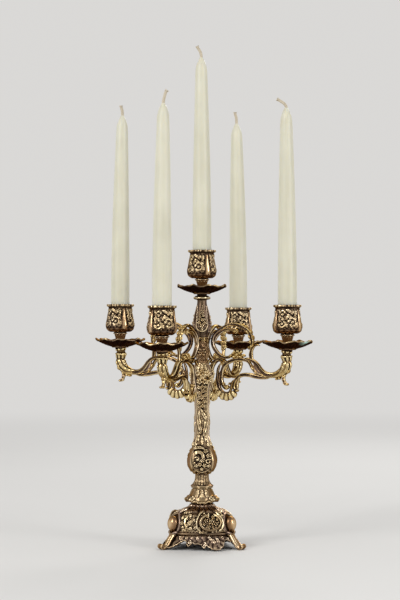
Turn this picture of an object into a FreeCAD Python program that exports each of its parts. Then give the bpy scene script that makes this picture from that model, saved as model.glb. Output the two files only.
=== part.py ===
import FreeCAD, Part
import math
import os

import Sketcher
from FreeCAD import Placement, Rotation, Vector

# A five-light candelabrum on a three-footed base. Millimetres, +Z up, origin on the floor
# under the axis. Castings are stacked on one threaded tie rod: base, bell collar, column,
# rosette hub, the eyelets of four arms, vase, drip pan and the middle candle cup. Each arm
# turns on the rod and carries a drip pan and a candle cup, held by a stud of its own.

DRIVING_SIZES = {
    # heights of the castings in the stack
    "base_height": 50.0,
    "collar_height": 19.5,
    "column_height": 142.5,
    "hub_height": 24.8,
    "eyelet_thickness": 1.2,
    "vase_height": 47.9,
    # base
    "base_wall": 2.6,
    "base_top_thickness": 6.0,
    "base_corner_reach": 38.2,
    "base_seat_radius": 13.5,
    "skirt_height": 10.0,
    "foot_reach": 51.0,
    "foot_width": 16.0,
    "foot_pad_length": 4.0,
    "cabochon_height": 16.0,
    "cabochon_width": 15.0,
    "cartouche_height": 22.0,
    "cartouche_width": 26.0,
    "ornament_turn": 17.0,
    "drop_floor_gap": 0.8,
    # tie rod and what clamps it
    "rod_radius": 3.0,
    "thread_gap": 0.05,
    "rod_passage_gap": 0.2,
    "rod_bottom_height": 33.0,
    "washer_radius": 9.0,
    "washer_thickness": 1.6,
    "nut_across_flats": 10.0,
    "nut_height": 5.0,
    "rod_grip": 13.0,
    # bell collar
    "collar_lip_radius": 20.8,
    "collar_waist_radius": 11.0,
    "collar_top_radius": 12.5,
    # column
    "column_foot_radius": 13.1,
    "column_neck_radius": 8.5,
    "knop_reach": 18.0,
    "knop_low_height": 15.2,
    "knop_high_height": 47.5,
    "shaft_reach": 9.7,
    "shaft_waist_reach": 8.8,
    "capital_reach": 13.0,
    "capital_drop": 14.0,
    "column_top_radius": 6.8,
    # rosette hub and eyelets
    "hub_radius": 6.6,
    "hub_rosette_radius": 8.6,
    "eyelet_radius": 7.0,
    "strap_width": 6.5,
    # arms, in the plane of each arm
    "arm_reach": 106.0,
    "arm_drop": 13.2,
    "scroll_radius": 17.7,
    "scroll_near_centre": 34.0,
    "scroll_far_centre": 45.0,
    "scroll_drop": 2.1,
    "scroll_band": 5.0,
    "lower_scroll_radius": 18.4,
    "lower_scroll_centre": 44.0,
    "lower_scroll_drop": 42.2,
    "lower_scroll_band": 5.4,
    "rail_radius": 23.4,
    "rail_centre": 59.7,
    "rail_drop": 61.7,
    "rail_band": 3.6,
    "stem_band": 5.6,
    "stem_inner_reach": 66.4,
    "stem_start_reach": 53.5,
    "stem_start_drop": 17.2,
    "stem_bend_drop": 21.9,
    "boss_radius": 5.2,
    "boss_height": 12.0,
    "shell_reach": 32.0,
    "shell_half_width": 12.6,
    "shell_drop": 60.7,
    "shell_depth": 9.6,
    "casting_depth": 7.0,
    # vase
    "vase_belly_radius": 11.4,
    "vase_neck_radius": 6.1,
    "vase_top_radius": 9.8,
    # drip pans and cups
    "pan_radius": 28.0,
    "pan_depth": 10.0,
    "pan_wall": 1.6,
    "pan_foot_radius": 8.5,
    "cup_height": 51.0,
    "cup_neck_wall": 2.1,
    "cup_rim_flange": 2.4,
    "cup_belly_swell": 2.8,
    "cup_stem_radius": 5.0,
    "cup_foot_radius": 9.0,
    "socket_depth": 22.0,
    "socket_gap": 0.3,
    "stud_radius": 2.5,
    "stud_arm_grip": 9.0,
    "stud_cup_grip": 13.0,
    # candles
    "candle_radius": 11.0,
    "candle_length": 245.0,
    "candle_tip_radius": 6.3,
    "wick_radius": 0.75,
    "wick_gap": 0.05,
    "wick_stub": 15.0,
}

LEGS = 3
# Direction about +Z of the first foot, in degrees. The castings above the base turn with it.
STAND_TURN = -6.0
# Directions about +Z of the four arms, and how many eyelets lie below each one's own.
ARMS = {
    "right": (0.0, 2),
    "back": (90.0, 0),
    "left": (180.0, 3),
    "front": (270.0, 1),
}


class Size:
    """A length that carries its value and the sheet expression that gives it."""

    def __init__(self, value, text):
        self.value = value
        self.text = text

    def __add__(self, other):
        other = as_size(other)
        return Size(self.value + other.value, f"({self.text} + {other.text})")

    def __sub__(self, other):
        other = as_size(other)
        return Size(self.value - other.value, f"({self.text} - {other.text})")

    def __mul__(self, factor):
        factor = as_size(factor)
        return Size(self.value * factor.value, f"({self.text} * {factor.text})")

    def __rsub__(self, other):
        return as_size(other) - self

    __radd__ = __add__
    __rmul__ = __mul__

    def __neg__(self):
        return self * -1.0


def as_size(number):
    return number if isinstance(number, Size) else Size(float(number), f"({float(number)!r})")


doc = FreeCAD.newDocument("candelabrum")
sheet = doc.addObject("Spreadsheet::Sheet", "Sizes")


class Sizes:
    """Every driving size by its alias."""


sizes = Sizes()
for row, (alias, value) in enumerate(DRIVING_SIZES.items(), start=1):
    sheet.set(f"A{row}", str(value))
    sheet.setAlias(f"A{row}", alias)
    setattr(sizes, alias, Size(value, f"Sizes.{alias}"))
doc.recompute()

bodies = []


# ---------------------------------------------------------------- helpers


def new_body(name, direction=0.0):
    """A sub-part, turned about +Z to its direction in degrees."""
    body = doc.addObject("PartDesign::Body", name)
    body.Label = name
    body.Placement = Placement(Vector(0, 0, 0), Rotation(Vector(0, 0, 1), direction))
    bodies.append(body)
    return body


def bind(feature, **properties):
    for prop, size in properties.items():
        size = as_size(size)
        setattr(feature, prop, size.value)
        feature.setExpression(prop, size.text)


def origin_item(body, role):
    return next(item for item in body.Origin.OriginFeatures if item.Role == role)


def new_sketch(body, name, role, offset=None):
    """A sketch on one of the body's own origin planes, lifted along the plane's normal."""
    sketch = body.newObject("Sketcher::SketchObject", f"{body.Name}_{name}_sketch")
    sketch.AttachmentSupport = [(origin_item(body, role), "")]
    sketch.MapMode = "FlatFace"
    if offset is not None:
        sketch.setExpression("AttachmentOffset.Base.z", offset.text)
    return sketch


def constrain(sketch, label, size, *args):
    size = as_size(size)
    index = sketch.addConstraint(Sketcher.Constraint(*args, size.value))
    sketch.renameConstraint(index, label)
    sketch.setExpression(f"Constraints.{label}", size.text)


def pin_point(sketch, geometry, end, x, y, label):
    constrain(sketch, f"{label}_x", x, "DistanceX", -1, 1, geometry, end)
    constrain(sketch, f"{label}_y", y, "DistanceY", -1, 1, geometry, end)


def arc_between(start, end, bend):
    """The minor arc from start to end. A positive bend turns left, a negative one right."""
    chord = end - start
    radius = abs(bend)
    rise = math.sqrt(max(radius * radius - chord.Length * chord.Length / 4, 0.0))
    left = Vector(-chord.y, chord.x, 0).normalize()
    centre = (start + end) / 2 + left * math.copysign(rise, bend)
    first, last = (start, end) if bend > 0 else (end, start)
    first_angle = math.atan2(first.y - centre.y, first.x - centre.x)
    last_angle = math.atan2(last.y - centre.y, last.x - centre.x)
    return Part.ArcOfCircle(Part.Circle(centre, Vector(0, 0, 1), radius), first_angle, last_angle)


def draw_outline(sketch, corners):
    """A closed outline of (x, y) corners. A third number makes the edge that arrives an arc."""
    points = [Vector(as_size(corner[0]).value, as_size(corner[1]).value, 0) for corner in corners]
    ends = []
    for index, start in enumerate(points):
        following = (index + 1) % len(points)
        end = points[following]
        bend = corners[following][2] if len(corners[following]) > 2 else None
        if bend is None:
            edge = sketch.addGeometry(Part.LineSegment(start, end))
            ends.append((edge, 1, 2))
        else:
            bend = as_size(bend)
            edge = sketch.addGeometry(arc_between(start, end, bend.value))
            ends.append((edge, 1, 2) if bend.value > 0 else (edge, 2, 1))
            size = bend if bend.value > 0 else -bend
            constrain(sketch, f"bend_{index}", size, "Radius", edge)
    for index, (edge, _, last) in enumerate(ends):
        next_edge, next_first, _ = ends[(index + 1) % len(ends)]
        sketch.addConstraint(Sketcher.Constraint("Coincident", edge, last, next_edge, next_first))
    for index, (edge, first, _) in enumerate(ends):
        pin_point(sketch, edge, first, corners[index][0], corners[index][1], f"corner_{index}")


def draw_circle(sketch, radius, x=0.0, y=0.0):
    centre = Vector(as_size(x).value, as_size(y).value, 0)
    edge = sketch.addGeometry(Part.Circle(centre, Vector(0, 0, 1), as_size(radius).value))
    label = f"circle_{edge}"
    constrain(sketch, f"{label}_radius", radius, "Radius", edge)
    pin_point(sketch, edge, 3, x, y, label)


def revolve(body, name, corners, cut=False):
    """A ring or solid turned about +Z from an outline of (radius, height) corners."""
    sketch = new_sketch(body, name, "XZ_Plane")
    draw_outline(sketch, corners)
    feature = body.newObject("PartDesign::Groove" if cut else "PartDesign::Revolution", f"{body.Name}_{name}")
    feature.Profile = sketch
    feature.ReferenceAxis = (sketch, ["V_Axis"])
    feature.Angle = 360
    return feature


def plate(body, name, corners, thickness, direction=None):
    """An outline in the body's radial plane, or one turned about +Z, thickened to both sides."""
    sketch = new_sketch(body, name, "XZ_Plane")
    if direction is not None:
        sketch.AttachmentOffset = Placement(Vector(0, 0, 0), Rotation(Vector(0, 1, 0), direction.value))
        sketch.setExpression("AttachmentOffset.Rotation.Angle", direction.text)
    draw_outline(sketch, corners)
    feature = body.newObject("PartDesign::Pad", f"{body.Name}_{name}")
    feature.Profile = sketch
    feature.SideType = "Symmetric"
    bind(feature, Length=thickness)
    return feature


def cylinder(body, name, radius, bottom, height, cut=False, x=0.0):
    """An upright round boss or hole."""
    kind = "PartDesign::SubtractiveCylinder" if cut else "PartDesign::AdditiveCylinder"
    feature = body.newObject(kind, f"{body.Name}_{name}")
    bind(feature, Radius=radius, Height=height)
    feature.AttachmentSupport = [(origin_item(body, "XY_Plane"), "")]
    feature.MapMode = "FlatFace"
    feature.setExpression("AttachmentOffset.Base.x", as_size(x).text)
    feature.setExpression("AttachmentOffset.Base.z", as_size(bottom).text)
    return feature


def pipe(body, name, draw_path, radius):
    """A round bar along a path drawn in the body's radial plane."""
    path = new_sketch(body, f"{name}_path", "XZ_Plane")
    draw_path(path)
    doc.recompute()
    section = body.newObject("Sketcher::SketchObject", f"{body.Name}_{name}_section")
    section.AttachmentSupport = [(path, "Edge1")]
    section.MapMode = "NormalToEdge"
    section.MapPathParameter = 0.0
    draw_circle(section, radius)
    feature = body.newObject("PartDesign::AdditivePipe", f"{body.Name}_{name}")
    feature.Profile = section
    feature.Spine = (path, [f"Edge{number + 1}" for number in range(len(path.Geometry))])
    return feature


def add_arc(sketch, label, centre_x, centre_y, radius, start=None, end=None):
    """An arc turning left. Angles in degrees fix its ends; None leaves an end to other constraints."""
    centre = Vector(as_size(centre_x).value, as_size(centre_y).value, 0)
    circle = Part.Circle(centre, Vector(0, 0, 1), radius.value)
    first = math.radians(180.0 if start is None else start)
    last = math.radians(360.0 if end is None else end)
    edge = sketch.addGeometry(Part.ArcOfCircle(circle, first, last))
    constrain(sketch, f"{label}_radius", radius, "Radius", edge)
    pin_point(sketch, edge, 3, centre_x, centre_y, f"{label}_centre")
    for point, angle in ((1, start), (2, end)):
        if angle is None:
            continue
        across = math.cos(math.radians(angle))
        up = math.sin(math.radians(angle))
        if abs(up) > abs(across):
            along, place = "DistanceX", centre_x + radius * across
        else:
            along, place = "DistanceY", centre_y + radius * up
        constrain(sketch, f"{label}_end_{point}", place, along, -1, 1, edge, point)
    return edge


def arc_path(centre_x, centre_y, radius, start, end):
    """A path of one arc, from start to end in degrees, turning left."""
    def draw(sketch):
        add_arc(sketch, "arc", as_size(centre_x), as_size(centre_y), radius, start, end)
    return draw


def three_sided(sketch, reach, corner_radius):
    """A rounded triangle whose corners point at 0, 120 and 240 degrees."""
    corners = []
    for leg in range(LEGS):
        direction = 360.0 / LEGS * leg
        centre_x = (reach - corner_radius) * math.cos(math.radians(direction))
        centre_y = (reach - corner_radius) * math.sin(math.radians(direction))
        for side in (-1, 1):
            swing = math.radians(direction + side * 180.0 / LEGS)
            corner = [centre_x + corner_radius * math.cos(swing), centre_y + corner_radius * math.sin(swing)]
            if side > 0:
                corner.append(corner_radius)
            corners.append(corner)
    draw_outline(sketch, corners)


def three_sided_loft(body, name, levels, cut=False):
    """A casting or hollow through rounded triangles of (height, reach, corner radius)."""
    sketches = []
    for index, (height, reach, corner_radius) in enumerate(levels):
        sketch = new_sketch(body, f"{name}_{index}", "XY_Plane", as_size(height))
        three_sided(sketch, as_size(reach), as_size(corner_radius))
        sketches.append(sketch)
    kind = "PartDesign::SubtractiveLoft" if cut else "PartDesign::AdditiveLoft"
    feature = body.newObject(kind, f"{body.Name}_{name}")
    feature.Profile = sketches[0]
    feature.Sections = sketches[1:]
    feature.Ruled = True
    return feature


def around_legs(body, features):
    """Repeat features at every leg."""
    doc.recompute()
    pattern = body.newObject("PartDesign::PolarPattern", f"{body.Name}_legs")
    pattern.Originals = features
    pattern.Axis = (origin_item(body, "Z_Axis"), [""])
    pattern.Angle = 360
    pattern.Occurrences = LEGS
    body.Tip = pattern
    return pattern


def egg(body, name, centre_x, centre_z, radial, tangential, upright, direction=0.0):
    """A rounded boss on a wall, turned about +Z from the body's radial plane."""
    feature = body.newObject("PartDesign::AdditiveEllipsoid", f"{body.Name}_{name}")
    bind(feature, Radius1=upright, Radius2=radial, Radius3=tangential)
    feature.AttachmentSupport = [(origin_item(body, "XY_Plane"), "")]
    feature.MapMode = "FlatFace"
    turn = as_size(direction)
    feature.setExpression("AttachmentOffset.Base.x", (as_size(centre_x)).text + f" * cos({turn.text})")
    feature.setExpression("AttachmentOffset.Base.y", (as_size(centre_x)).text + f" * sin({turn.text})")
    feature.setExpression("AttachmentOffset.Base.z", as_size(centre_z).text)
    feature.setExpression("AttachmentOffset.Rotation.Angle", turn.text)
    return feature


# ---------------------------------------------------------------- levels in the stack

rod_passage = sizes.rod_radius + sizes.rod_passage_gap
rod_thread = sizes.rod_radius + sizes.thread_gap
base_top = sizes.base_height
collar_top = base_top + sizes.collar_height
column_top = collar_top + sizes.column_height
hub_top = column_top + sizes.hub_height
eyelets_top = hub_top + sizes.eyelet_thickness * len(ARMS)
vase_top = eyelets_top + sizes.vase_height
centre_pan_floor = vase_top + sizes.pan_wall
washer_top = base_top - sizes.base_top_thickness
nut_top = washer_top - sizes.washer_thickness


# ---------------------------------------------------------------- stand


def make_base():
    body = new_body("base", STAND_TURN)
    reach = sizes.base_corner_reach
    wall = sizes.base_wall
    seat = sizes.base_seat_radius
    outer = [
        (sizes.skirt_height, reach + 4.0, 30.0),
        (sizes.skirt_height + 7.5, reach - 1.0, 27.0),
        (sizes.skirt_height + 19.0, reach, 26.0),
        (base_top - 12.0, reach - 5.0, 22.0),
        (base_top - 6.0, reach - 13.0, 18.0),
        (base_top - 3.0, seat + 4.5, 15.0),
        (base_top, seat, seat - 0.5),
    ]
    three_sided_loft(body, "shell", outer)
    hollow = [
        (sizes.skirt_height - 1.0, outer[0][1] - wall, 30.0 - wall),
        (outer[1][0], outer[1][1] - wall, 27.0 - wall),
        (outer[2][0], outer[2][1] - wall, 26.0 - wall),
        (outer[3][0], outer[3][1] - wall, 22.0 - wall),
        (washer_top, outer[4][1] - wall - 5.0, 18.0 - wall),
    ]
    three_sided_loft(body, "hollow", hollow, cut=True)
    cylinder(body, "rod_hole", rod_passage, washer_top - 1.0, sizes.base_top_thickness + 2.0, cut=True)

    tread = sizes.foot_reach
    leg = plate(body, "leg", [
        (tread - 14.5, sizes.skirt_height + 9.0),
        (tread - 10.5, sizes.skirt_height + 9.5),
        (tread - 2.5, 8.0, -14.0),
        (tread + 5.5, 6.0, 6.0),
        (tread + 6.0, 3.5),
        (tread + sizes.foot_pad_length * 0.5, 0.0, -7.0),
        (tread - sizes.foot_pad_length * 0.5, 0.0),
        (tread - 6.5, 5.5, -9.0),
        (tread - 13.0, 13.0, 14.0),
    ], sizes.foot_width)
    cabochon = egg(body, "cabochon", reach - 1.8, sizes.skirt_height + 19.4,
                   3.4, sizes.cabochon_width * 0.5, sizes.cabochon_height * 0.5)
    face = sizes.ornament_turn + 180.0 / LEGS
    cartouche = egg(body, "cartouche", reach - 6.4, sizes.skirt_height + 18.0,
                    5.2, sizes.cartouche_width * 0.5, sizes.cartouche_height * 0.5, face)
    shell_top = sizes.skirt_height + 9.5
    drop = plate(body, "drop", [
        (reach - 4.8, shell_top),
        (reach - 1.5, shell_top),
        (tread - 0.5, sizes.drop_floor_gap, -46.0),
        (tread - 4.0, sizes.drop_floor_gap),
        (reach - 5.8, shell_top - 5.0, 46.0),
    ], 14.0, face)
    around_legs(body, [leg, cabochon, cartouche, drop])
    return body


def make_fixings():
    washer = new_body("base_washer")
    revolve(washer, "ring", [
        (rod_passage, nut_top),
        (sizes.washer_radius, nut_top),
        (sizes.washer_radius, washer_top),
        (rod_passage, washer_top),
    ])

    nut = new_body("base_nut")
    sketch = new_sketch(nut, "hexagon", "XY_Plane", nut_top - sizes.nut_height)
    sides = 6
    corner_radius = sizes.nut_across_flats * (0.5 / math.cos(math.pi / sides))
    corner_angles = [2 * math.pi / sides * side for side in range(sides)]
    draw_outline(sketch, [(corner_radius * math.cos(a), corner_radius * math.sin(a)) for a in corner_angles])
    draw_circle(sketch, rod_thread)
    pad = nut.newObject("PartDesign::Pad", "base_nut_pad")
    pad.Profile = sketch
    bind(pad, Length=sizes.nut_height)

    rod = new_body("tie_rod")
    rod_top = centre_pan_floor + sizes.rod_grip
    cylinder(rod, "bar", sizes.rod_radius, sizes.rod_bottom_height, rod_top - sizes.rod_bottom_height)


def make_bell_collar():
    body = new_body("bell_collar")
    lip = sizes.collar_lip_radius
    revolve(body, "bell", [
        (rod_passage, base_top),
        (sizes.base_seat_radius - 1.5, base_top),
        (sizes.base_seat_radius, base_top + 3.0),
        (lip - 1.6, base_top + 1.4, -14.0),
        (lip, base_top + 2.6),
        (lip, base_top + 5.0),
        (lip - 1.2, base_top + 8.0),
        (sizes.collar_waist_radius, collar_top - 3.0, -11.0),
        (sizes.collar_top_radius, collar_top - 2.0),
        (sizes.collar_top_radius, collar_top),
        (rod_passage, collar_top),
    ])


def make_column():
    body = new_body("column", STAND_TURN)
    knop = sizes.knop_reach
    waist = sizes.shaft_waist_reach
    shaft = sizes.shaft_reach
    capital = sizes.capital_reach
    low = collar_top + sizes.knop_low_height
    high = collar_top + sizes.knop_high_height
    middle = (low + high) * 0.5
    leaves = column_top - sizes.capital_drop
    levels = [
        (collar_top, sizes.column_foot_radius, sizes.column_foot_radius - 0.4),
        (collar_top + 2.5, sizes.column_foot_radius - 0.4, sizes.column_foot_radius - 0.8),
        (collar_top + 6.0, sizes.column_neck_radius + 1.8, sizes.column_neck_radius + 1.2),
        (low - 4.5, sizes.column_neck_radius, sizes.column_neck_radius - 0.6),
        (low, knop - 7.0, 8.5),
        (low + 7.0, knop - 2.6, 9.5),
        (middle, knop, 9.5),
        (high - 8.0, knop - 1.8, 9.0),
        (high, knop - 5.6, 8.0),
        (high + 4.5, waist + 2.6, 7.0),
        (high + 11.0, waist, 5.8),
        (high + 37.0, waist + 0.2, 5.8),
        (leaves - 18.5, shaft, 6.0),
        (leaves - 8.0, shaft + 1.2, 7.0),
        (leaves, capital, 9.0),
        (leaves + 4.5, capital - 2.4, 8.0),
        (column_top - 4.0, sizes.column_top_radius + 0.6, sizes.column_top_radius),
        (column_top, sizes.column_top_radius, sizes.column_top_radius - 0.6),
    ]
    three_sided_loft(body, "casting", levels)
    cylinder(body, "rod_hole", rod_passage, collar_top - 1.0, sizes.column_height + 2.0, cut=True)
    cylinder(body, "core", waist - 3.6, low - 6.0, leaves + 4.0 - (low - 6.0), cut=True)


def make_rosette_hub():
    body = new_body("rosette_hub", STAND_TURN)
    hub = sizes.hub_radius
    revolve(body, "barrel", [
        (rod_passage, column_top),
        (sizes.column_top_radius, column_top),
        (sizes.column_top_radius, column_top + 1.5),
        (hub - 0.9, column_top + 3.2),
        (hub, column_top + 6.0),
        (hub, hub_top - 3.0),
        (sizes.eyelet_radius + 0.2, hub_top - 1.6),
        (sizes.eyelet_radius, hub_top),
        (rod_passage, hub_top),
    ])
    middle = (column_top + hub_top) * 0.5
    sunk = 0.8
    relief = sizes.hub_rosette_radius - hub + sunk
    flower = egg(body, "rosette", hub - sunk, middle, relief, 5.4, 6.4, 180.0 / LEGS)
    around_legs(body, [flower])
    cylinder(body, "rod_hole", rod_passage, column_top - 1.0, sizes.hub_height + 2.0, cut=True)


def make_vase():
    body = new_body("vase")
    belly = sizes.vase_belly_radius
    neck = sizes.vase_neck_radius
    top = sizes.vase_top_radius
    revolve(body, "casting", [
        (rod_passage, eyelets_top),
        (sizes.eyelet_radius, eyelets_top),
        (sizes.eyelet_radius + 0.3, eyelets_top + 1.6),
        (belly, eyelets_top + 12.4, 14.0),
        (belly - 0.5, eyelets_top + 16.4),
        (neck + 1.4, vase_top - 15.5, -60.0),
        (neck, vase_top - 6.0),
        (top, vase_top - 4.5),
        (top, vase_top - 1.2),
        (top - 2.2, vase_top),
        (rod_passage, vase_top),
    ])


# ---------------------------------------------------------------- branches


def make_arm(name, direction, level):
    body = new_body(f"arm_{name}", direction)
    datum = hub_top + sizes.eyelet_thickness * level
    seat = datum - sizes.arm_drop

    cylinder(body, "eyelet", sizes.eyelet_radius, datum, sizes.eyelet_thickness)
    strap = body.newObject("PartDesign::AdditiveBox", f"{body.Name}_strap")
    strap_end = sizes.scroll_near_centre - sizes.scroll_radius + 1.0
    bind(strap, Length=strap_end - 4.5, Width=sizes.strap_width, Height=sizes.eyelet_thickness)
    strap.AttachmentSupport = [(origin_item(body, "XY_Plane"), "")]
    strap.MapMode = "FlatFace"
    strap.setExpression("AttachmentOffset.Base.x", "4.5")
    strap.setExpression("AttachmentOffset.Base.y", (sizes.strap_width * -0.5).text)
    strap.setExpression("AttachmentOffset.Base.z", datum.text)

    scroll_z = datum - sizes.scroll_drop

    def draw_scroll(sketch):
        radius = sizes.scroll_radius
        far = add_arc(sketch, "far", sizes.scroll_far_centre, scroll_z, radius, -56.0, 90.0)
        top = scroll_z.value + radius.value
        bar = sketch.addGeometry(Part.LineSegment(Vector(sizes.scroll_far_centre.value, top, 0),
                                                  Vector(sizes.scroll_near_centre.value, top, 0)))
        near = add_arc(sketch, "near", sizes.scroll_near_centre, scroll_z, radius, 90.0, 270.0)
        sketch.addConstraint(Sketcher.Constraint("Coincident", far, 2, bar, 1))
        sketch.addConstraint(Sketcher.Constraint("Coincident", bar, 2, near, 1))

    pipe(body, "scroll", draw_scroll, sizes.scroll_band * 0.5)

    bend_radius = (sizes.arm_reach - sizes.stem_inner_reach) * 0.5
    bend_x = sizes.arm_reach - bend_radius
    bend_z = datum - sizes.stem_bend_drop
    stem_z = datum - sizes.stem_start_drop

    def draw_stem(sketch):
        start = Vector(sizes.stem_start_reach.value, stem_z.value, 0)
        centre = Vector(bend_x.value, bend_z.value, 0)
        reach = centre - start
        slope = math.atan2(reach.y, reach.x) - math.asin(bend_radius.value / reach.Length)
        touch = start + Vector(math.cos(slope), math.sin(slope), 0) * math.sqrt(
            reach.Length ** 2 - bend_radius.value ** 2)
        run = sketch.addGeometry(Part.LineSegment(start, touch))
        bend = add_arc(sketch, "bend", bend_x, bend_z, bend_radius, None, None)
        rise_end = Vector(sizes.arm_reach.value, seat.value - 2.0, 0)
        rise = sketch.addGeometry(Part.LineSegment(Vector(sizes.arm_reach.value, bend_z.value, 0), rise_end))
        pin_point(sketch, run, 1, sizes.stem_start_reach, stem_z, "start")
        pin_point(sketch, rise, 2, sizes.arm_reach, seat - 2.0, "rise_end")
        sketch.addConstraint(Sketcher.Constraint("Tangent", run, 2, bend, 1))
        sketch.addConstraint(Sketcher.Constraint("Tangent", bend, 2, rise, 1))

    pipe(body, "stem", draw_stem, sizes.stem_band * 0.5)

    lower_z = datum - sizes.lower_scroll_drop
    lower_path = arc_path(sizes.lower_scroll_centre, lower_z, sizes.lower_scroll_radius, 22.0, 240.0)
    pipe(body, "lower_scroll", lower_path, sizes.lower_scroll_band * 0.5)
    rail_z = datum - sizes.rail_drop
    rail_path = arc_path(sizes.rail_centre, rail_z, sizes.rail_radius, 66.0, 160.0)
    pipe(body, "rail", rail_path, sizes.rail_band * 0.5)
    leaf_path = arc_path(sizes.stem_start_reach + 21.0, datum - 16.7, as_size(11.5), 110.0, 225.0)
    pipe(body, "spur_leaf", leaf_path, as_size(1.9))

    egg(body, "junction", sizes.stem_start_reach + 13.5, stem_z - 18.5, 5.5, 3.2, 5.5)
    egg(body, "clasp", sizes.scroll_near_centre + 4.0, scroll_z - sizes.scroll_radius - 1.8, 4.2, 2.8, 3.2)

    shell_z = datum - sizes.shell_drop
    half = sizes.shell_half_width
    plate(body, "shell", [
        (sizes.shell_reach - half, shell_z),
        (sizes.shell_reach, shell_z - sizes.shell_depth, 13.5),
        (sizes.shell_reach + half, shell_z, 13.5),
        (sizes.shell_reach + half - 3.0, shell_z + 3.0),
        (sizes.shell_reach - half + 3.0, shell_z + 3.0),
    ], sizes.casting_depth)

    pendant_x = bend_x + bend_radius * math.cos(math.radians(45.0))
    pendant_z = bend_z - bend_radius * math.sin(math.radians(45.0))
    plate(body, "pendant", [
        (pendant_x - 1.6, pendant_z),
        (pendant_x + 1.0, pendant_z - 12.5, 40.0),
        (pendant_x + 4.4, pendant_z - 14.4),
        (pendant_x + 3.6, pendant_z - 8.0, -20.0),
        (pendant_x + 2.6, pendant_z + 2.0),
    ], 5.0)

    cylinder(body, "boss", sizes.boss_radius, seat - sizes.boss_height, sizes.boss_height, x=sizes.arm_reach)
    cylinder(body, "stud_hole", sizes.stud_radius + sizes.thread_gap, seat - sizes.stud_arm_grip - 0.4,
             sizes.stud_arm_grip + 1.4, cut=True, x=sizes.arm_reach)
    cylinder(body, "rod_hole", rod_thread, datum - 1.0, sizes.eyelet_thickness + 2.0, cut=True)


def placed(body, x):
    """Move a body that was drawn on the axis out along its own direction."""
    outward = body.Placement.Rotation.multVec(Vector(1, 0, 0))
    body.setExpression("Placement.Base.x", (x * outward.x).text)
    body.setExpression("Placement.Base.y", (x * outward.y).text)


def make_pan(name, direction, reach, seat, hole_radius):
    body = new_body(name, direction)
    rim = sizes.pan_radius
    top = seat + sizes.pan_depth
    floor = seat + sizes.pan_wall
    revolve(body, "dish", [
        (hole_radius, seat),
        (sizes.pan_foot_radius, seat),
        (rim - 0.5, top - 1.4, 27.0),
        (rim, top - 0.5),
        (rim - 0.4, top),
        (rim - 1.7, top),
        (sizes.cup_foot_radius + 1.0, floor, -24.0),
        (hole_radius, floor),
    ])
    placed(body, reach)


def make_cup(name, direction, reach, floor, hole_radius, grip):
    body = new_body(name, direction)
    rim = floor + sizes.cup_height
    bore = sizes.candle_radius + sizes.socket_gap
    neck = bore + sizes.cup_neck_wall
    flange = neck + sizes.cup_rim_flange
    stem = sizes.cup_stem_radius
    socket_floor = rim - sizes.socket_depth
    revolve(body, "tulip", [
        (hole_radius, floor),
        (sizes.cup_foot_radius, floor),
        (sizes.cup_foot_radius, floor + 1.5),
        (stem, floor + 9.5, -9.0),
        (stem + 2.8, floor + 15.5, -6.0),
        (stem + 3.4, floor + 17.0),
        (neck + sizes.cup_belly_swell, floor + 25.2, 12.0),
        (neck, rim - 6.5, 60.0),
        (flange, rim - 2.6),
        (flange, rim),
        (bore, rim),
        (bore, socket_floor),
        (0.0, socket_floor),
        (0.0, floor + grip + 0.3),
        (hole_radius, floor + grip + 0.3),
    ])
    placed(body, reach)


def make_stud(name, direction, seat):
    body = new_body(f"stud_{name}", direction)
    bottom = seat - sizes.stud_arm_grip
    length = sizes.stud_arm_grip + sizes.pan_wall + sizes.stud_cup_grip
    cylinder(body, "bar", sizes.stud_radius, bottom, length)
    placed(body, sizes.arm_reach)


def make_candle(name, direction, reach, bottom):
    candle = new_body(f"candle_{name}", direction)
    top = bottom + sizes.candle_length
    base = sizes.candle_radius
    tip = sizes.candle_tip_radius
    bore = sizes.wick_radius + sizes.wick_gap
    revolve(candle, "taper", [
        (bore, bottom),
        (base - 0.4, bottom),
        (base, bottom + sizes.socket_depth),
        (tip + (base - tip) * 0.78, bottom + 84.0),
        (tip + (base - tip) * 0.33, bottom + 152.0),
        (tip, top - 8.5),
        (bore, top, 9.0),
    ])
    placed(candle, reach)

    wick = new_body(f"wick_{name}", direction)
    cylinder(wick, "plait", sizes.wick_radius, bottom, sizes.candle_length + sizes.wick_stub)
    placed(wick, reach)


# ---------------------------------------------------------------- assembly

make_base()
make_fixings()
make_bell_collar()
make_column()
make_rosette_hub()
make_vase()
make_pan("pan_centre", 0.0, as_size(0.0), vase_top, rod_passage)
make_cup("cup_centre", 0.0, as_size(0.0), centre_pan_floor, rod_thread, sizes.rod_grip)
make_candle("centre", 0.0, as_size(0.0), centre_pan_floor + sizes.cup_height - sizes.socket_depth)

stud_thread = sizes.stud_radius + sizes.thread_gap
for arm_name, (arm_direction, arm_level) in ARMS.items():
    arm_seat = hub_top + sizes.eyelet_thickness * arm_level - sizes.arm_drop
    arm_floor = arm_seat + sizes.pan_wall
    make_arm(arm_name, arm_direction, arm_level)
    make_pan(f"pan_{arm_name}", arm_direction, sizes.arm_reach, arm_seat, stud_thread)
    make_cup(f"cup_{arm_name}", arm_direction, sizes.arm_reach, arm_floor, stud_thread, sizes.stud_cup_grip)
    make_stud(arm_name, arm_direction, arm_seat)
    make_candle(arm_name, arm_direction, sizes.arm_reach, arm_floor + sizes.cup_height - sizes.socket_depth)

doc.recompute()

faults = [item.Name for item in doc.Objects if "Invalid" in item.State or "Error" in item.State]
for body in bodies:
    if body.Shape.isNull() or not body.Shape.isValid() or len(body.Shape.Solids) != 1:
        faults.append(body.Label)
if faults:
    raise RuntimeError(f"these objects did not build: {faults}")

os.makedirs("parts", exist_ok=True)
for body in bodies:
    body.Shape.exportStep(f"parts/{body.Label}.step")
    print(f"{body.Label:14s} {body.Shape.Volume / 1000.0:8.2f} cm3")
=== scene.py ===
import math

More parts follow.
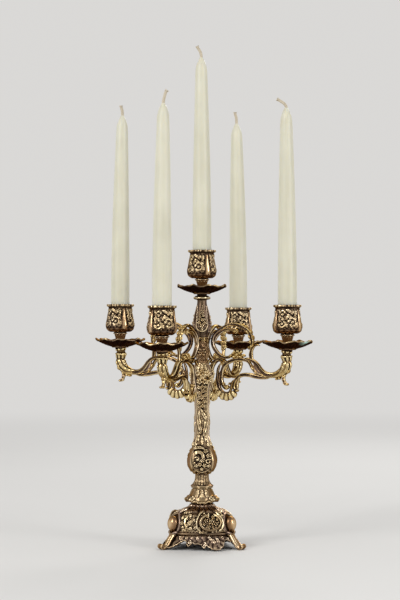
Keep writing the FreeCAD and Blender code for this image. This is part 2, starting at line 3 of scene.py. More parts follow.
import bpy
import numpy as np
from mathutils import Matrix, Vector


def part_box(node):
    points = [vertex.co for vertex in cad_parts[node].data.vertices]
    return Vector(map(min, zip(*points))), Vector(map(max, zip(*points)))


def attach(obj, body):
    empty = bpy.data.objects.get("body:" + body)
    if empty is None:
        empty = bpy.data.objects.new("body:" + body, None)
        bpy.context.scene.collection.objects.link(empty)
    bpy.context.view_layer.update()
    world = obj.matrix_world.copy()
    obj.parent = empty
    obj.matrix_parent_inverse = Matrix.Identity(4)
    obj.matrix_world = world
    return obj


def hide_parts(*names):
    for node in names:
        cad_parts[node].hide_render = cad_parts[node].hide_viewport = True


# A five-light candelabrum in antique brass with ivory tapers. The castings are modelled here
# as dense meshes with their ornament raised out of the surface; the CAD nodes keep the sizes.
# Shapes are worked out in millimetres and written to the meshes in metres.

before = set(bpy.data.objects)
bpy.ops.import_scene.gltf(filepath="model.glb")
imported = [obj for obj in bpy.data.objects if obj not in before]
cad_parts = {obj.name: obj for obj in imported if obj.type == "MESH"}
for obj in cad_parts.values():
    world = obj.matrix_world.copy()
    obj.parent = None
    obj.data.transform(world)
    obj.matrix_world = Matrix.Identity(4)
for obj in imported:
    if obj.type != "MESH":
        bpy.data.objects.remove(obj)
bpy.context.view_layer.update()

MM = 0.001
TAU = 2 * math.pi
TINY = 1e-9

# The base and the column have three alike faces, turned by this many degrees. Arms have a direction in degrees.
FACES = 3
FACE_TURN = -6
ARMS = {"right": 0, "back": 90, "left": 180, "front": 270}


def low(node, axis=2):
    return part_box(node)[0][axis] / MM


def high(node, axis=2):
    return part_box(node)[1][axis] / MM


# ---------------------------------------------------------------- numbers and curves


def lerp_table(x, table):
    """Straight interpolation in a short table of (x, value)."""
    xs, values = zip(*table)
    return np.interp(x, xs, values)


def smooth_table(x, table):
    """Interpolation in a short table of (x, value) that is level at each entry."""
    xs = np.array([row[0] for row in table], dtype=float)
    values = np.array([row[1] for row in table], dtype=float)
    x = np.clip(x, xs[0], xs[-1])
    index = np.clip(np.searchsorted(xs, x, side="right") - 1, 0, len(xs) - 2)
    share = (x - xs[index]) / (xs[index + 1] - xs[index])
    share = share * share * (3 - 2 * share)
    return values[index] * (1 - share) + values[index + 1] * share


def fade(x, last, end):
    """1 up to last, 0 from end on."""
    return smooth_table(x, [(last, 1), (end, 0)])


def band(x, start, full, last, end):
    """0 up to start, 1 from full to last, 0 again from end on."""
    return smooth_table(x, [(start, 0), (full, 1), (last, 1), (end, 0)])


def hump(offset, width):
    """A bell curve that is 1 where the offset is 0."""
    return np.exp(-(offset / width) ** 2)


def circle(count):
    """One row of evenly spaced angles."""
    return np.linspace(0, TAU, count, endpoint=False)[None, :]


def unit_steps(path):
    """The direction of a path at each of its points."""
    step = np.gradient(path, axis=0)
    return step / np.linalg.norm(step, axis=1, keepdims=True)


def curve_through(points, count):
    """Evenly spaced points on a smooth curve through given points."""
    points = np.array(points, dtype=float)
    padded = np.vstack([2 * points[0] - points[1], points, 2 * points[-1] - points[-2]])
    fine = []
    for index in range(1, len(padded) - 2):
        before, start, end, after = padded[index - 1:index + 3]
        share = np.linspace(0, 1, 24, endpoint=False)[:, None]
        fine.append(0.5 * (2 * start + (end - before) * share
                           + (2 * before - 5 * start + 4 * end - after) * share ** 2
                           + (3 * start - before - 3 * end + after) * share ** 3))
    fine = np.vstack(fine + [points[-1:]])
    length = np.concatenate([[0], np.cumsum(np.linalg.norm(np.diff(fine, axis=0), axis=1))])
    even = np.linspace(0, length[-1], count)
    return np.stack([np.interp(even, length, fine[:, axis]) for axis in range(points.shape[1])], axis=1)


def oval_points(start, end, count, half_width, half_height, middle=0):
    """Points of an oval from one angle to another in degrees, its middle that high."""
    angle = np.radians(np.linspace(start, end, count))
    return np.stack([half_width * np.cos(angle), middle + half_height * np.sin(angle)], axis=1)


def spiral_points(centre, outer, inner, start, turns, count=28):
    """Points of a scroll's eye, winding in from its outer radius. Angles in degrees, turns may be negative."""
    share = np.linspace(0, 1, count)
    radius = outer * (inner / outer) ** share
    angle = np.radians(start) + TAU * turns * share
    return np.stack([centre[0] + radius * np.cos(angle), centre[1] + radius * np.sin(angle)], axis=1)


def lattice_noise(x, y, size, seed):
    """Smooth noise from 0 to 1 whose bumps are about size across."""
    table = np.random.default_rng(seed).random((64, 64))
    x = x / size
    y = y / size
    column = np.floor(x).astype(int)
    row = np.floor(y).astype(int)
    across = x - column
    along = y - row
    across = across * across * (3 - 2 * across)
    along = along * along * (3 - 2 * along)
    column %= 64
    row %= 64
    right = (column + 1) % 64
    above = (row + 1) % 64
    lower = table[row, column] * (1 - across) + table[row, right] * across
    upper = table[above, column] * (1 - across) + table[above, right] * across
    return lower * (1 - along) + upper * along


def curls(x, y, size, seed):
    """Crowded worm-like curls from 0 to 1, the ground between cast flowers."""
    bend_x = lattice_noise(x, y, size * 1.6, seed + 1) - 0.5
    bend_y = lattice_noise(x, y, size * 1.6, seed + 2) - 0.5
    field = lattice_noise(x + bend_x * size * 2.2, y + bend_y * size * 2.2, size, seed)
    return 1 - np.abs(np.sin(field * math.pi * 3))


# ---------------------------------------------------------------- relief stamped on a surface


class Relief:
    """Heights raised on a surface whose millimetre coordinates are x and y."""

    def __init__(self, x, y):
        self.x, self.y = x, y
        self.height = np.zeros_like(x)

    def raise_to(self, height):
        self.height = np.maximum(self.height, height)

    def ridge(self, points, width, height, taper=0, groove=0):
        """A rounded strip along a curve. It narrows to taper at its end; groove hollows its middle."""
        low_x, low_y = points.min(axis=0) - width
        high_x, high_y = points.max(axis=0) + width
        inside = (self.x > low_x) & (self.x < high_x) & (self.y > low_y) & (self.y < high_y)
        x, y = self.x[inside], self.y[inside]
        best = np.full(x.shape, np.inf)
        size = np.ones(x.shape)
        last = len(points) - 1
        for index, (start, end) in enumerate(zip(points[:-1], points[1:])):
            step = end - start
            along = np.clip(((x - start[0]) * step[0] + (y - start[1]) * step[1]) / max(step @ step, TINY), 0, 1)
            scale = 1 - (1 - taper) * ((index + along) / last) if taper else 1
            gap = np.hypot(x - start[0] - along * step[0], y - start[1] - along * step[1]) / scale
            size = np.where(gap < best, scale, size)
            best = np.minimum(best, gap)
        share = np.clip(best / (width * 0.5), 0, 1)
        raised = np.zeros_like(self.height)
        raised[inside] = height * (np.sqrt(1 - share * share) * (1 - groove * hump(share, 0.38))) * np.sqrt(size)
        self.raise_to(raised)

    def strand(self, points, count, width, height, groove=0):
        """A ridge along the smooth curve through a few points."""
        self.ridge(curve_through(points, count), width, height, groove=groove)

    def eye(self, centre, outer, inner, start, turns, width, height, taper=0.6):
        """The wound-in end of a scroll."""
        self.ridge(spiral_points(centre, outer, inner, start, turns), width, height, taper)

    def c_scroll(self, centre, radius, start, sweep, width, height, lean=0):
        """A C whose two ends wind into small eyes, with a bead in each."""
        angle = np.radians(np.linspace(start, start + sweep, 36))
        turn = math.radians(lean)
        arc = np.stack([radius * np.cos(angle), radius * 1.2 * np.sin(angle)], axis=1)
        spin = np.array([[math.cos(turn), -math.sin(turn)], [math.sin(turn), math.cos(turn)]])
        arc = arc @ spin.T + np.array(centre)
        self.ridge(arc, width, height, groove=0.3)
        side = math.copysign(1, sweep)
        for end, before, hand in ((arc[0], arc[1], -side), (arc[-1], arc[-2], side)):
            heading = (end - before) / np.linalg.norm(end - before)
            eye = end + np.array([-heading[1], heading[0]]) * hand * radius * 0.26
            first = math.degrees(math.atan2(*(end - eye)[::-1]))
            self.eye(eye, radius * 0.26, radius * 0.1, first, hand * 0.7, width * 0.85, height * 0.9, taper=0.55)
            self.bead(eye, width * 0.5, height * 1.1)

    def bead(self, centre, radius, height):
        share = np.hypot(self.x - centre[0], self.y - centre[1]) / radius
        self.raise_to(height * np.sqrt(np.clip(1 - share * share, 0, 1)))

    def leaf(self, root, tip, width, height, lobes=4, bend=0):
        """A pointed leaf with a sunk vein and scalloped sides, bowed sideways by bend."""
        step = np.subtract(tip, root)
        length = np.linalg.norm(step)
        step = step / length
        x, y = self.x - root[0], self.y - root[1]
        along = (x * step[0] + y * step[1]) / length
        inside = (along > 0) & (along < 1)
        along = np.clip(along, 0, 1)
        across = -x * step[1] + y * step[0] - bend * length * np.sin(along * math.pi)
        scallops = np.abs(np.sin(lobes * math.pi * along))
        half = width * 0.5 * np.sin(math.pi * along ** 0.72) ** 0.8 * (0.72 + 0.28 * scallops)
        share = np.abs(across) / np.maximum(half, 1e-6)
        bump = np.sqrt(np.clip(1 - share * share, 0, 1))
        ribs = 0.8 + 0.2 * np.abs(np.sin(lobes * math.pi * along + share * 0.9))
        vein = 1 - 0.45 * hump(across, 0.1 * width)
        self.raise_to(np.where(inside & (share < 1), height * bump * ribs * vein * (1 - 0.3 * along), 0))

    def leaves(self, rows):
        for row in rows:
            self.leaf(*row)

    def flower(self, centre, radius, height, petals=5, phase=0):
        x, y = self.x - centre[0], self.y - centre[1]
        petal = np.abs(np.cos((np.arctan2(y, x) + phase) * petals / 2))
        share = np.hypot(x, y) / radius / (0.7 + 0.3 * petal)
        cup = np.clip(1 - np.abs(share - 0.62) / 0.4, 0, 1)
        self.raise_to(height * cup ** 0.6 * (0.45 + 0.55 * petal ** 0.7))
        self.bead(centre, radius * 0.26, height * 1.05)

    def flowers(self, rows, height, turn=(1, 0)):
        """Five-petalled flowers given as (x, y, radius), each turned by its own place."""
        for x, y, radius in rows:
            self.flower((x, y), radius, height, phase=turn[0] * x + turn[1] * y)

    def fan(self, centre, radius, direction, spread, lobes, height):
        """A scallop shell of round flutes that open from its centre."""
        x, y = self.x - centre[0], self.y - centre[1]
        angle = (np.degrees(np.arctan2(y, x)) - direction + 180) % 360 - 180
        share = np.hypot(x, y) / radius
        flutes = np.abs(np.sin((angle / spread + 0.5) * math.pi * lobes))
        edge = 0.86 + 0.14 * flutes
        inside = (np.abs(angle) < spread / 2) & (share < edge) & (share > 0.1)
        rise = (0.35 + 0.65 * share) * (0.35 + 0.65 * flutes ** 0.6)
        self.raise_to(np.where(inside, height * rise * np.clip((edge - share) / 0.08, 0, 1) ** 0.5, 0))


def box_blur(values, rows, columns):
    """Mean over a window that reaches that many rows and columns each way; the columns close on themselves."""
    for axis, reach, mode in ((0, rows, "edge"), (1, columns, "wrap")):
        pad = [(0, 0), (0, 0)]
        pad[axis] = (reach + 1, reach)
        total = np.cumsum(np.pad(values, pad, mode=mode), axis=axis)
        upper = np.take(total, np.arange(2 * reach + 1, total.shape[axis]), axis=axis)
        lower = np.take(total, np.arange(0, total.shape[axis] - 2 * reach - 1), axis=axis)
        values = (upper - lower) / (2 * reach + 1)
    return values


def worn(height, rows, columns):
    """How rubbed a point is: 1 on what stands 0.8 mm above its surroundings, 0 as deep in the hollows."""
    local = height - box_blur(box_blur(height, rows, columns), rows, columns)
    return np.clip(0.5 + local / 0.8 * 0.5, 0, 1)


# ---------------------------------------------------------------- meshes


def grid_block(points, shade, tone=0, closed_ends=True, around=False):
    """Vertices, faces and (shade, tone) pairs of a grid of (rows, columns, 3) points, closed to a solid.
    Rows run up a wall and columns run leftwards round it, seen from outside. The ends are closed with
    fans of triangles, unless the rows themselves run around."""
    rows, columns = points.shape[:2]
    index = np.arange(rows * columns).reshape(rows, columns)
    if around:
        index = np.vstack([index, index[:1]])
    following = np.roll(index, -1, axis=1)
    faces = [np.stack([index[:-1], following[:-1], following[1:], index[1:]], axis=-1).reshape(-1, 4)]
    vertices = points.reshape(-1, 3)
    looks = np.stack(np.broadcast_arrays(shade + np.zeros((rows, columns)), tone), axis=-1).reshape(-1, 2)
    if closed_ends and not around:
        for row, order in ((0, (2, 1, 0)), (-1, (0, 1, 2))):
            centre = np.full(columns, len(vertices))
            faces.append(np.stack([centre, index[row], following[row]], axis=-1)[:, order])
            vertices = np.vstack([vertices, points[row].mean(axis=0)])
            looks = np.vstack([looks, looks[index[row]].mean(axis=0)])
    return vertices, faces, looks


def merge_blocks(blocks):
    offsets = np.cumsum([0] + [len(vertices) for vertices, _, _ in blocks])
    faces = [group + offset for offset, block in zip(offsets, blocks) for group in block[1]]
    return np.vstack([block[0] for block in blocks]), faces, np.vstack([block[2] for block in blocks])


def turned(vertices, degrees):
    """Points turned about +Z."""
    angle = math.radians(degrees)
    spin = np.array([[math.cos(angle), -math.sin(angle), 0], [math.sin(angle), math.cos(angle), 0], [0, 0, 1]])
    return vertices @ spin.T


def turn_blocks(blocks, degrees):
    return [(turned(vertices, degrees), faces, looks) for vertices, faces, looks in blocks]


def moved_blocks(blocks, offset):
    return [(vertices + np.array(offset), faces, looks) for vertices, faces, looks in blocks]


def make_piece(name, blocks, material, body, nodes=(), stain=None):
    """One mesh object in metres with the looks of every point, riding on its body."""
    vertices, faces, looks = merge_blocks(blocks)
    green = np.zeros(len(vertices)) if stain is None else stain(vertices)
    mesh = bpy.data.meshes.new(name)
    mesh.vertices.add(len(vertices))
    mesh.vertices.foreach_set("co", (vertices * MM).astype(np.float32).ravel())
    corners = np.concatenate([group.ravel() for group in faces])
    sizes = np.concatenate([np.full(len(group), group.shape[1]) for group in faces])
    mesh.loops.add(len(corners))
    mesh.loops.foreach_set("vertex_index", corners.astype(np.int32))
    mesh.polygons.add(len(sizes))
    mesh.polygons.foreach_set("loop_start", np.concatenate([[0], np.cumsum(sizes)[:-1]]).astype(np.int32))
    mesh.polygons.foreach_set("use_smooth", np.ones(len(sizes), dtype=bool))
    mesh.update(calc_edges=True)
    for label, values in (("shade", looks[:, 0]), ("tone", looks[:, 1]), ("verdigris", green)):
        attribute = mesh.attributes.new(label, "FLOAT", "POINT")
        attribute.data.foreach_set("value", np.ascontiguousarray(values, dtype=np.float32))
    mesh.validate()
    mesh.materials.append(material)
    piece = bpy.data.objects.new(name, mesh)
    bpy.context.scene.collection.objects.link(piece)
    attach(piece, body)
    if nodes:
        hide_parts(*nodes)


def raise_surface(points, height):
    """Move a closed ring of points out along its own normals."""
    along = (np.roll(points, -1, axis=1) - np.roll(points, 1, axis=1)) * 0.5
    normal = np.cross(along, np.gradient(points, axis=0))
    normal /= np.maximum(np.linalg.norm(normal, axis=-1, keepdims=True), TINY)
    return points + normal * height[..., None]


def triangle_radius(angle, reach, corner):
    """Distance from the axis to a rounded triangle whose corners point at 0, 120 and 240 degrees."""
    third = TAU / FACES
    local = np.abs((angle + third / 2) % third - third / 2)
    offset = reach - corner
    touch = np.arctan2(corner * math.sin(third / 2), offset + corner * math.cos(third / 2))
    round_part = offset * np.cos(local) + np.sqrt(np.maximum(corner ** 2 - (offset * np.sin(local)) ** 2, 0))
    flat_part = (offset * math.cos(third / 2) + corner) / np.cos(third / 2 - local)
    return np.where(local < touch, round_part, flat_part)


def face_angle(angle):
    """Degrees from the middle of the nearest face, from -60 to 60."""
    return (np.degrees(angle) + 120) % 120 - 60


# ---------------------------------------------------------------- materials


def new_material(name):
    material = bpy.data.materials.new(name)
    material.use_nodes = True
    tree = material.node_tree
    return material, tree, tree.nodes["Principled BSDF"]


def node(tree, kind, **settings):
    made = tree.nodes.new(kind)
    for key, value in settings.items():
        if key in made.inputs:
            made.inputs[key].default_value = value
        else:
            setattr(made, key, value)
    return made


def ramp(tree, source, stops):
    made = tree.nodes.new("ShaderNodeValToRGB")
    while len(made.color_ramp.elements) < len(stops):
        made.color_ramp.elements.new(0.5)
    for element, (place, colour) in zip(made.color_ramp.elements, stops):
        element.position = place
        element.color = (*colour, 1)
    tree.links.new(source, made.inputs["Fac"])
    return made.outputs["Color"]


def mix_colour(tree, factor, first, second, blend="MIX"):
    made = tree.nodes.new("ShaderNodeMix")
    made.data_type = "RGBA"
    made.blend_type = blend
    for socket, value in (("Factor", factor), ("A", first), ("B", second)):
        target = next(item for item in made.inputs if item.name == socket and item.enabled)
        if isinstance(value, bpy.types.NodeSocket):
            tree.links.new(value, target)
        else:
            target.default_value = value if socket == "Factor" else (*value, 1)
    return next(item for item in made.outputs if item.enabled)


def math_node(tree, operation, first, second):
    made = tree.nodes.new("ShaderNodeMath")
    made.operation = operation
    made.use_clamp = True
    for target, value in zip(made.inputs, (first, second)):
        if isinstance(value, bpy.types.NodeSocket):
            tree.links.new(value, target)
        else:
            target.default_value = value
    return made.outputs[0]


def object_noise(tree, scale, detail=3, roughness=0.55, stretch=None):
    place = tree.nodes.new("ShaderNodeTexCoord").outputs["Object"]
    if stretch is not None:
        mapping = tree.nodes.new("ShaderNodeMapping")
        mapping.inputs["Scale"].default_value = stretch
        tree.links.new(place, mapping.inputs["Vector"])
        place = mapping.outputs["Vector"]
    made = node(tree, "ShaderNodeTexNoise", Scale=scale, Detail=detail, Roughness=roughness)
    tree.links.new(place, made.inputs["Vector"])
    return made.outputs["Fac"]


def bump(tree, shader, height, strength, distance):
    made = node(tree, "ShaderNodeBump", Strength=strength, Distance=distance)
    tree.links.new(height, made.inputs["Height"])
    tree.links.new(made.outputs["Normal"], shader.inputs["Normal"])


# Colours against how far the patina is rubbed off.
PATINA = [(0, (0.006, 0.004, 0.003)), (0.22, (0.018, 0.011, 0.007))]
COPPER = [(0, (0.006, 0.004, 0.003)), (0.22, (0.02, 0.011, 0.007)), (0.4, (0.095, 0.05, 0.026)),
          (0.54, (0.24, 0.135, 0.066)), (0.68, (0.45, 0.275, 0.135)), (0.84, (0.8, 0.59, 0.35)), (1, (1, 0.86, 0.64))]
DULL_TINT = (0.93, 0.97, 1.22)
PLUM_TINT = (0.9, 0.92, 1.5)
VERDIGRIS = (0.33, 0.48, 0.43)


def attribute(tree, name):
    return node(tree, "ShaderNodeAttribute", attribute_name=name).outputs["Fac"]


def paint(tree, shader, colour, source, levels):
    """Link the colour, and a roughness that follows source through (place, level) stops."""
    tree.links.new(colour, shader.inputs["Base Color"])
    rough = ramp(tree, source, [(place, (level, level, level)) for place, level in levels])
    tree.links.new(rough, shader.inputs["Roughness"])


def brass_material(name, metal):
    """Cast brass under a dark patina that is rubbed off what stands proud, down to the metal's own colours. The shade
    attribute that drives it also carries painted highlights and painted shade on some castings.
    """
    material, tree, shader = new_material(name)
    stained = attribute(tree, "shade")
    tone = attribute(tree, "tone")
    patches = object_noise(tree, 70, 4, 0.6)
    grain = object_noise(tree, 900, 3, 0.6)
    for noise, weight, offset in ((patches, 0.36, 0.19), (grain, 0.16, 0.08)):
        stained = math_node(tree, "ADD", stained, math_node(tree, "MULTIPLY", noise, weight))
        stained = math_node(tree, "SUBTRACT", stained, offset)
    colour = mix_colour(tree, tone, ramp(tree, stained, PATINA + metal), ramp(tree, stained, COPPER))
    bloom = ramp(tree, object_noise(tree, 34, 5, 0.7), [(0.44, (0, 0, 0)), (0.62, (1, 1, 1))])
    dull = mix_colour(tree, 1, colour, DULL_TINT, "MULTIPLY")
    hollow = math_node(tree, "SUBTRACT", 1.2, stained)
    colour = mix_colour(tree, math_node(tree, "MULTIPLY", bloom, hollow), colour, dull)
    plum = mix_colour(tree, 1, colour, PLUM_TINT, "MULTIPLY")
    colour = mix_colour(tree, math_node(tree, "MULTIPLY", tone, -1), colour, plum)
    green = attribute(tree, "verdigris")
    colour = mix_colour(tree, math_node(tree, "MULTIPLY", green, patches), colour, VERDIGRIS)
    paint(tree, shader, colour, stained, [(0.1, 0.62), (0.5, 0.28), (0.9, 0.16)])
    shader.inputs["Metallic"].default_value = 1
    shader.inputs["Specular Tint"].default_value = (0.5, 0.38, 0.26, 1)
    bump(tree, shader, grain, 0.18, 0.0004)
    return material


def steel_material():
    material, tree, shader = new_material("rod_steel")
    streaks = object_noise(tree, 300, 3, 0.6, (1, 1, 6))
    colour = ramp(tree, streaks, [(0.2, (0.23, 0.21, 0.19)), (0.8, (0.55, 0.53, 0.5))])
    paint(tree, shader, colour, streaks, [(0.2, 0.48), (0.8, 0.3)])
    shader.inputs["Metallic"].default_value = 1
    bump(tree, shader, streaks, 0.15, 0.0003)
    return material


def wax_material():
    """Ivory wax: faint cloudiness, dipping streaks down its length and a soft sheen."""
    material, tree, shader = new_material("candle_wax")
    clouds = object_noise(tree, 30, 3, 0.5)
    streaks = object_noise(tree, 260, 2, 0.5, (1, 1, 0.04))
    halves = [math_node(tree, "MULTIPLY", noise, 0.5) for noise in (clouds, streaks)]
    mixed = math_node(tree, "ADD", *halves)
    colour = ramp(tree, mixed, [(0.3, (0.61, 0.59, 0.47)), (0.55, (0.675, 0.655, 0.53)), (0.75, (0.72, 0.7, 0.59))])
    paint(tree, shader, colour, streaks, [(0.3, 0.36), (0.7, 0.26)])
    shader.inputs["Subsurface Weight"].default_value = 0.35
    shader.inputs["Subsurface Radius"].default_value = (1, 0.85, 0.55)
    shader.inputs["Subsurface Scale"].default_value = 0.004
    shader.inputs["IOR"].default_value = 1.44
    bump(tree, shader, streaks, 0.1, 0.0006)
    return material


def cotton_material():
    material, tree, shader = new_material("wick_cotton")
    fibre = object_noise(tree, 2500, 3, 0.7)
    colour = ramp(tree, fibre, [(0.25, (0.44, 0.37, 0.26)), (0.75, (0.78, 0.71, 0.58))])
    tree.links.new(colour, shader.inputs["Base Color"])
    shader.inputs["Roughness"].default_value = 0.9
    bump(tree, shader, fibre, 0.5, 0.0002)
    return material


BRASS = brass_material("antique_brass", [(0.38, (0.07, 0.043, 0.025)), (0.5, (0.2, 0.135, 0.076)),
                                         (0.62, (0.41, 0.292, 0.152)), (0.78, (0.77, 0.6, 0.335)),
                                         (0.95, (1, 0.9, 0.68))])
YELLOW_BRASS = brass_material("yellow_brass", [(0.38, (0.072, 0.041, 0.017)), (0.5, (0.205, 0.128, 0.05)),
                                               (0.62, (0.42, 0.275, 0.105)), (0.78, (0.8, 0.61, 0.27)),
                                               (0.95, (1, 0.92, 0.66))])
STEEL = steel_material()
WAX = wax_material()
COTTON = cotton_material()


# ---------------------------------------------------------------- casting shapes


def ring_points(angle, radius, height):
    """Grid points from (rows, columns) arrays of radius and height."""
    radius, height = np.broadcast_arrays(radius, height)
    return np.stack([radius * np.cos(angle), radius * np.sin(angle), height], axis=-1)


def ball(rows, columns, tip):
    """Points of a unit sphere from the top down, open by tip radians at both ends."""
    tilt = np.linspace(tip, math.pi - tip, rows)[:, None]
    spin = circle(columns)
    return np.stack([np.sin(tilt) * np.cos(spin), np.sin(tilt) * np.sin(spin), np.cos(tilt) + 0 * spin], axis=-1)


def swept(path, out, side):
    """A section (out, side) carried along a path in the (radius, height) plane."""
    step = unit_steps(path)
    return np.stack([path[:, :1] - step[:, 1:] * out, side, path[:, 1:] + step[:, :1] * out], axis=-1)


def egg_block(centre, outward, radii, tone=0.9):
    """A smooth egg with half sizes (out of the wall, along it, upright), with a painted highlight on the side that
    faces out of the wall.
    """
    unit = ball(40, 64, 0.02)
    points = turned((unit * np.array(radii)).reshape(-1, 3), outward).reshape(unit.shape) + np.array(centre)
    # painted highlight: brighter towards the side that faces out of the wall
    shade = 0.56 + 0.4 * np.clip(unit[..., 0], 0, 1) ** 3
    return grid_block(points[::-1], shade[::-1], tone)


def medallion(centre, outward, tilt, half_width, half_height, dome, sink, draw):
    """An oval boss set on a wall, with ornament drawn in its own flat millimetres."""
    columns = 160
    share = np.linspace(0, 1, 60)[:, None] ** 0.8
    spin = circle(columns)
    relief = Relief(share * half_width * np.cos(spin), share * half_height * np.sin(spin))
    draw(relief)
    face = dome * (1 - share ** 2.2) + relief.height
    edge = np.linspace(0, 1, 5)[1:, None]
    x = np.vstack([relief.x, half_width * (1 + 0.02 * edge) * np.cos(spin)])
    y = np.vstack([relief.y, half_height * (1 + 0.02 * edge) * np.sin(spin)])
    out = np.vstack([face + 0 * spin, face[-1:] - sink * edge])
    up = math.radians(tilt)
    points = np.stack([out * math.cos(up) - y * math.sin(up), x, out * math.sin(up) + y * math.cos(up)], axis=-1)
    points = turned(points.reshape(-1, 3), outward).reshape(points.shape) + np.array(centre)
    shade = worn(np.vstack([relief.height, np.zeros((len(edge), columns))]), 3, 5)
    return grid_block(points[::-1], shade[::-1])


def bar_sweep(path, half_band, half_depth, side_groove=0, band_groove=0, columns=26, swell=None, tone=0.15):
    """A bar along a path in the (radius, height) plane, square-shouldered and fluted on its sides."""
    path = np.asarray(path, dtype=float)
    band = np.broadcast_to(half_band, (len(path),))[:, None]
    depth = np.broadcast_to(half_depth, (len(path),))[:, None]
    spin = circle(columns)
    across = np.sign(np.cos(spin)) * np.abs(np.cos(spin)) ** 0.8
    out = np.sign(np.sin(spin)) * np.abs(np.sin(spin)) ** 0.8
    hollow_side = 1 - side_groove * hump(across, 0.26)
    hollow_band = 1 - band_groove * hump(out, 0.34)
    scale = 1 if swell is None else np.asarray(swell)
    points = swept(path, across * hollow_band * band * scale, -out * hollow_side * depth * scale)
    edge = hump(np.degrees(spin) % 90 - 45, 17)
    shade = (0.45 + 0.08 * np.abs(across) + 0.5 * edge
             - 0.3 * min(2.4 * side_groove, 1) * hump(np.abs(across) - 0.36, 0.16))
    shade = np.broadcast_to(shade, points.shape[:2]) + 0.0
    if swell is not None:
        shade = shade + 0.9 * (np.asarray(swell) - np.mean(swell))
    shade = shade + 0.3 * (lattice_noise(4 * spin + 0 * path[:, :1], path[:, :1] + path[:, 1:], 5, 91) - 0.5)
    inner = fade(path[:, :1], 20, 33)
    tone = tone - 0.9 * hump(across, 0.5) - 0.6 * inner
    return grid_block(points, np.clip(shade - 0.08 * inner, 0.05, 0.95), tone)


def tapered(count, start, middle, end):
    """Half sizes along a bar that round off towards both ends."""
    share = np.linspace(0, 1, count)
    rise = np.clip(share / 0.1, 0, 1) ** 0.5
    fall = np.clip((1 - share) / 0.1, 0, 1) ** 0.5
    size = np.interp(share, [0, 0.5, 1], [start, middle, end])
    return np.maximum(size * np.minimum(rise, fall), 0.05)


# ---------------------------------------------------------------- base

BASE_PROFILE = [
    (50, 13, 12.7), (48, 13.7, 12.9), (46, 15.4, 13.6), (44.3, 18.4, 15), (43.2, 22, 16.6),
    (42.2, 26, 18.4), (40.6, 29.6, 20), (38.2, 32.8, 21.6), (34.6, 35.8, 23.6), (29, 37.6, 25),
    (24, 38.2, 25.5), (20.6, 37.6, 26), (19.4, 39.4, 27), (18, 40.2, 27), (17, 38, 26.5), (15.6, 36.6, 26.5),
]
APRON_PROFILE = [(0, 51, 34), (3, 47.5, 32), (7, 43, 30), (11, 39.6, 28), (15.6, 36.6, 26.5)]
APRON_EDGE = [
    (-60, 0.8), (-52, 1.4), (-46, 3.2), (-41, 5.6), (-36, 8.6), (-31, 10.4), (-28, 9.6), (-25, 6.2), (-22, 4.4),
    (-19, 6), (-16.5, 8.4), (-12, 6.6), (-7, 7), (-2, 6.2), (2, 3.6), (4.5, 2.6), (7, 4.8), (9, 5.2), (12, 3.4),
    (17, 1.4), (22, 0.8), (27, 1.2), (31, 3), (35, 4.6), (38, 7.6), (42, 10.4), (46, 10.8), (49, 9), (52, 8),
    (54, 10), (57, 5), (60, 0.8),
]
APRON_TOP = 15.6
WALL_RADIUS = 36
WALL_THICKNESS = 2.2
EGG_HEIGHT = 28.6
ORNAMENT_ANGLE = 17


def draw_base_wall(relief, corner_relief):
    """Scrolls, leaves and flowers on one face, and the rims round the eggs on the corners."""
    x, y = relief.x, relief.y
    relief.raise_to(curls(x, y, 3.4, 5) * (band(y, 19.5, 21, 38.5, 41) * fade(np.abs(x), 25, 29)))
    relief.strand([(1.4, 42.6), (-2.6, 40.4), (-5.6, 36), (-6.6, 30.4), (-5.4, 25), (-1.8, 21.6)], 30, 2.6, 2.2, 0.2)
    relief.eye((3.4, 41.4), 2.2, 0.9, 150, -1.1, 1.7, 2)
    relief.c_scroll((-14.2, 31.6), 6.6, 105, 150, 2.2, 2, lean=6)
    relief.strand([(22.4, 41), (25, 36.4), (25.8, 31), (24.4, 25.6), (21.4, 22.2)], 26, 2.4, 2, 0.2)
    relief.leaves([((-27.6, 40.6), (-13, 42.4), 4.6, 1.9, 5, 0.1), ((-19.6, 26.6), (-10.4, 37.4), 5.4, 2, 4, -0.08),
                   ((-24, 22.6), (-9, 21.6), 4.8, 1.8, 5, 0.06), ((-7, 21.6), (6.5, 19.8), 4, 1.7, 4),
                   ((30.5, 40.6), (20, 42.6), 4.4, 1.8, 4, -0.1), ((30, 22.6), (20, 20.4), 4.4, 1.8, 4, -0.08),
                   ((28.4, 24.4), (26.8, 34), 3.4, 1.7, 4)])
    relief.flowers([(-15.6, 30.6, 2.8), (-19.6, 35.4, 2.4), (-8.6, 25.6, 2.5), (-13.4, 24.6, 2.1), (28.4, 37.4, 2.2),
                    (27.5, 21.6, 2), (-24, 30, 2.5), (-24.6, 35.6, 1.9), (-9.8, 33.6, 1.9), (-3.2, 24.6, 1.8),
                    (-22.4, 26, 1.8)], 2)
    corner_relief.ridge(oval_points(0, 360, 49, 10.8, 11.4, EGG_HEIGHT), 2.2, 1.7, groove=0.2)
    for side in (-1, 1):
        corner_relief.eye((side * 3.4, 42), 2.4, 0.9, 90 - side * 60, side * 1.1, 1.9, 2.4)
        corner_relief.leaf((side * 9, 19.6), (side * -0.5, 18.6), 3, 1.4, 3)


def base_size(height, column):
    """At each height, the base's reach to a corner (column 1) or that corner's radius (column 2)."""
    wall, apron = ([(row[0], row[column]) for row in rows] for rows in (BASE_PROFILE, APRON_PROFILE))
    return np.where(height > APRON_TOP, lerp_table(height, sorted(wall)), lerp_table(height, apron))


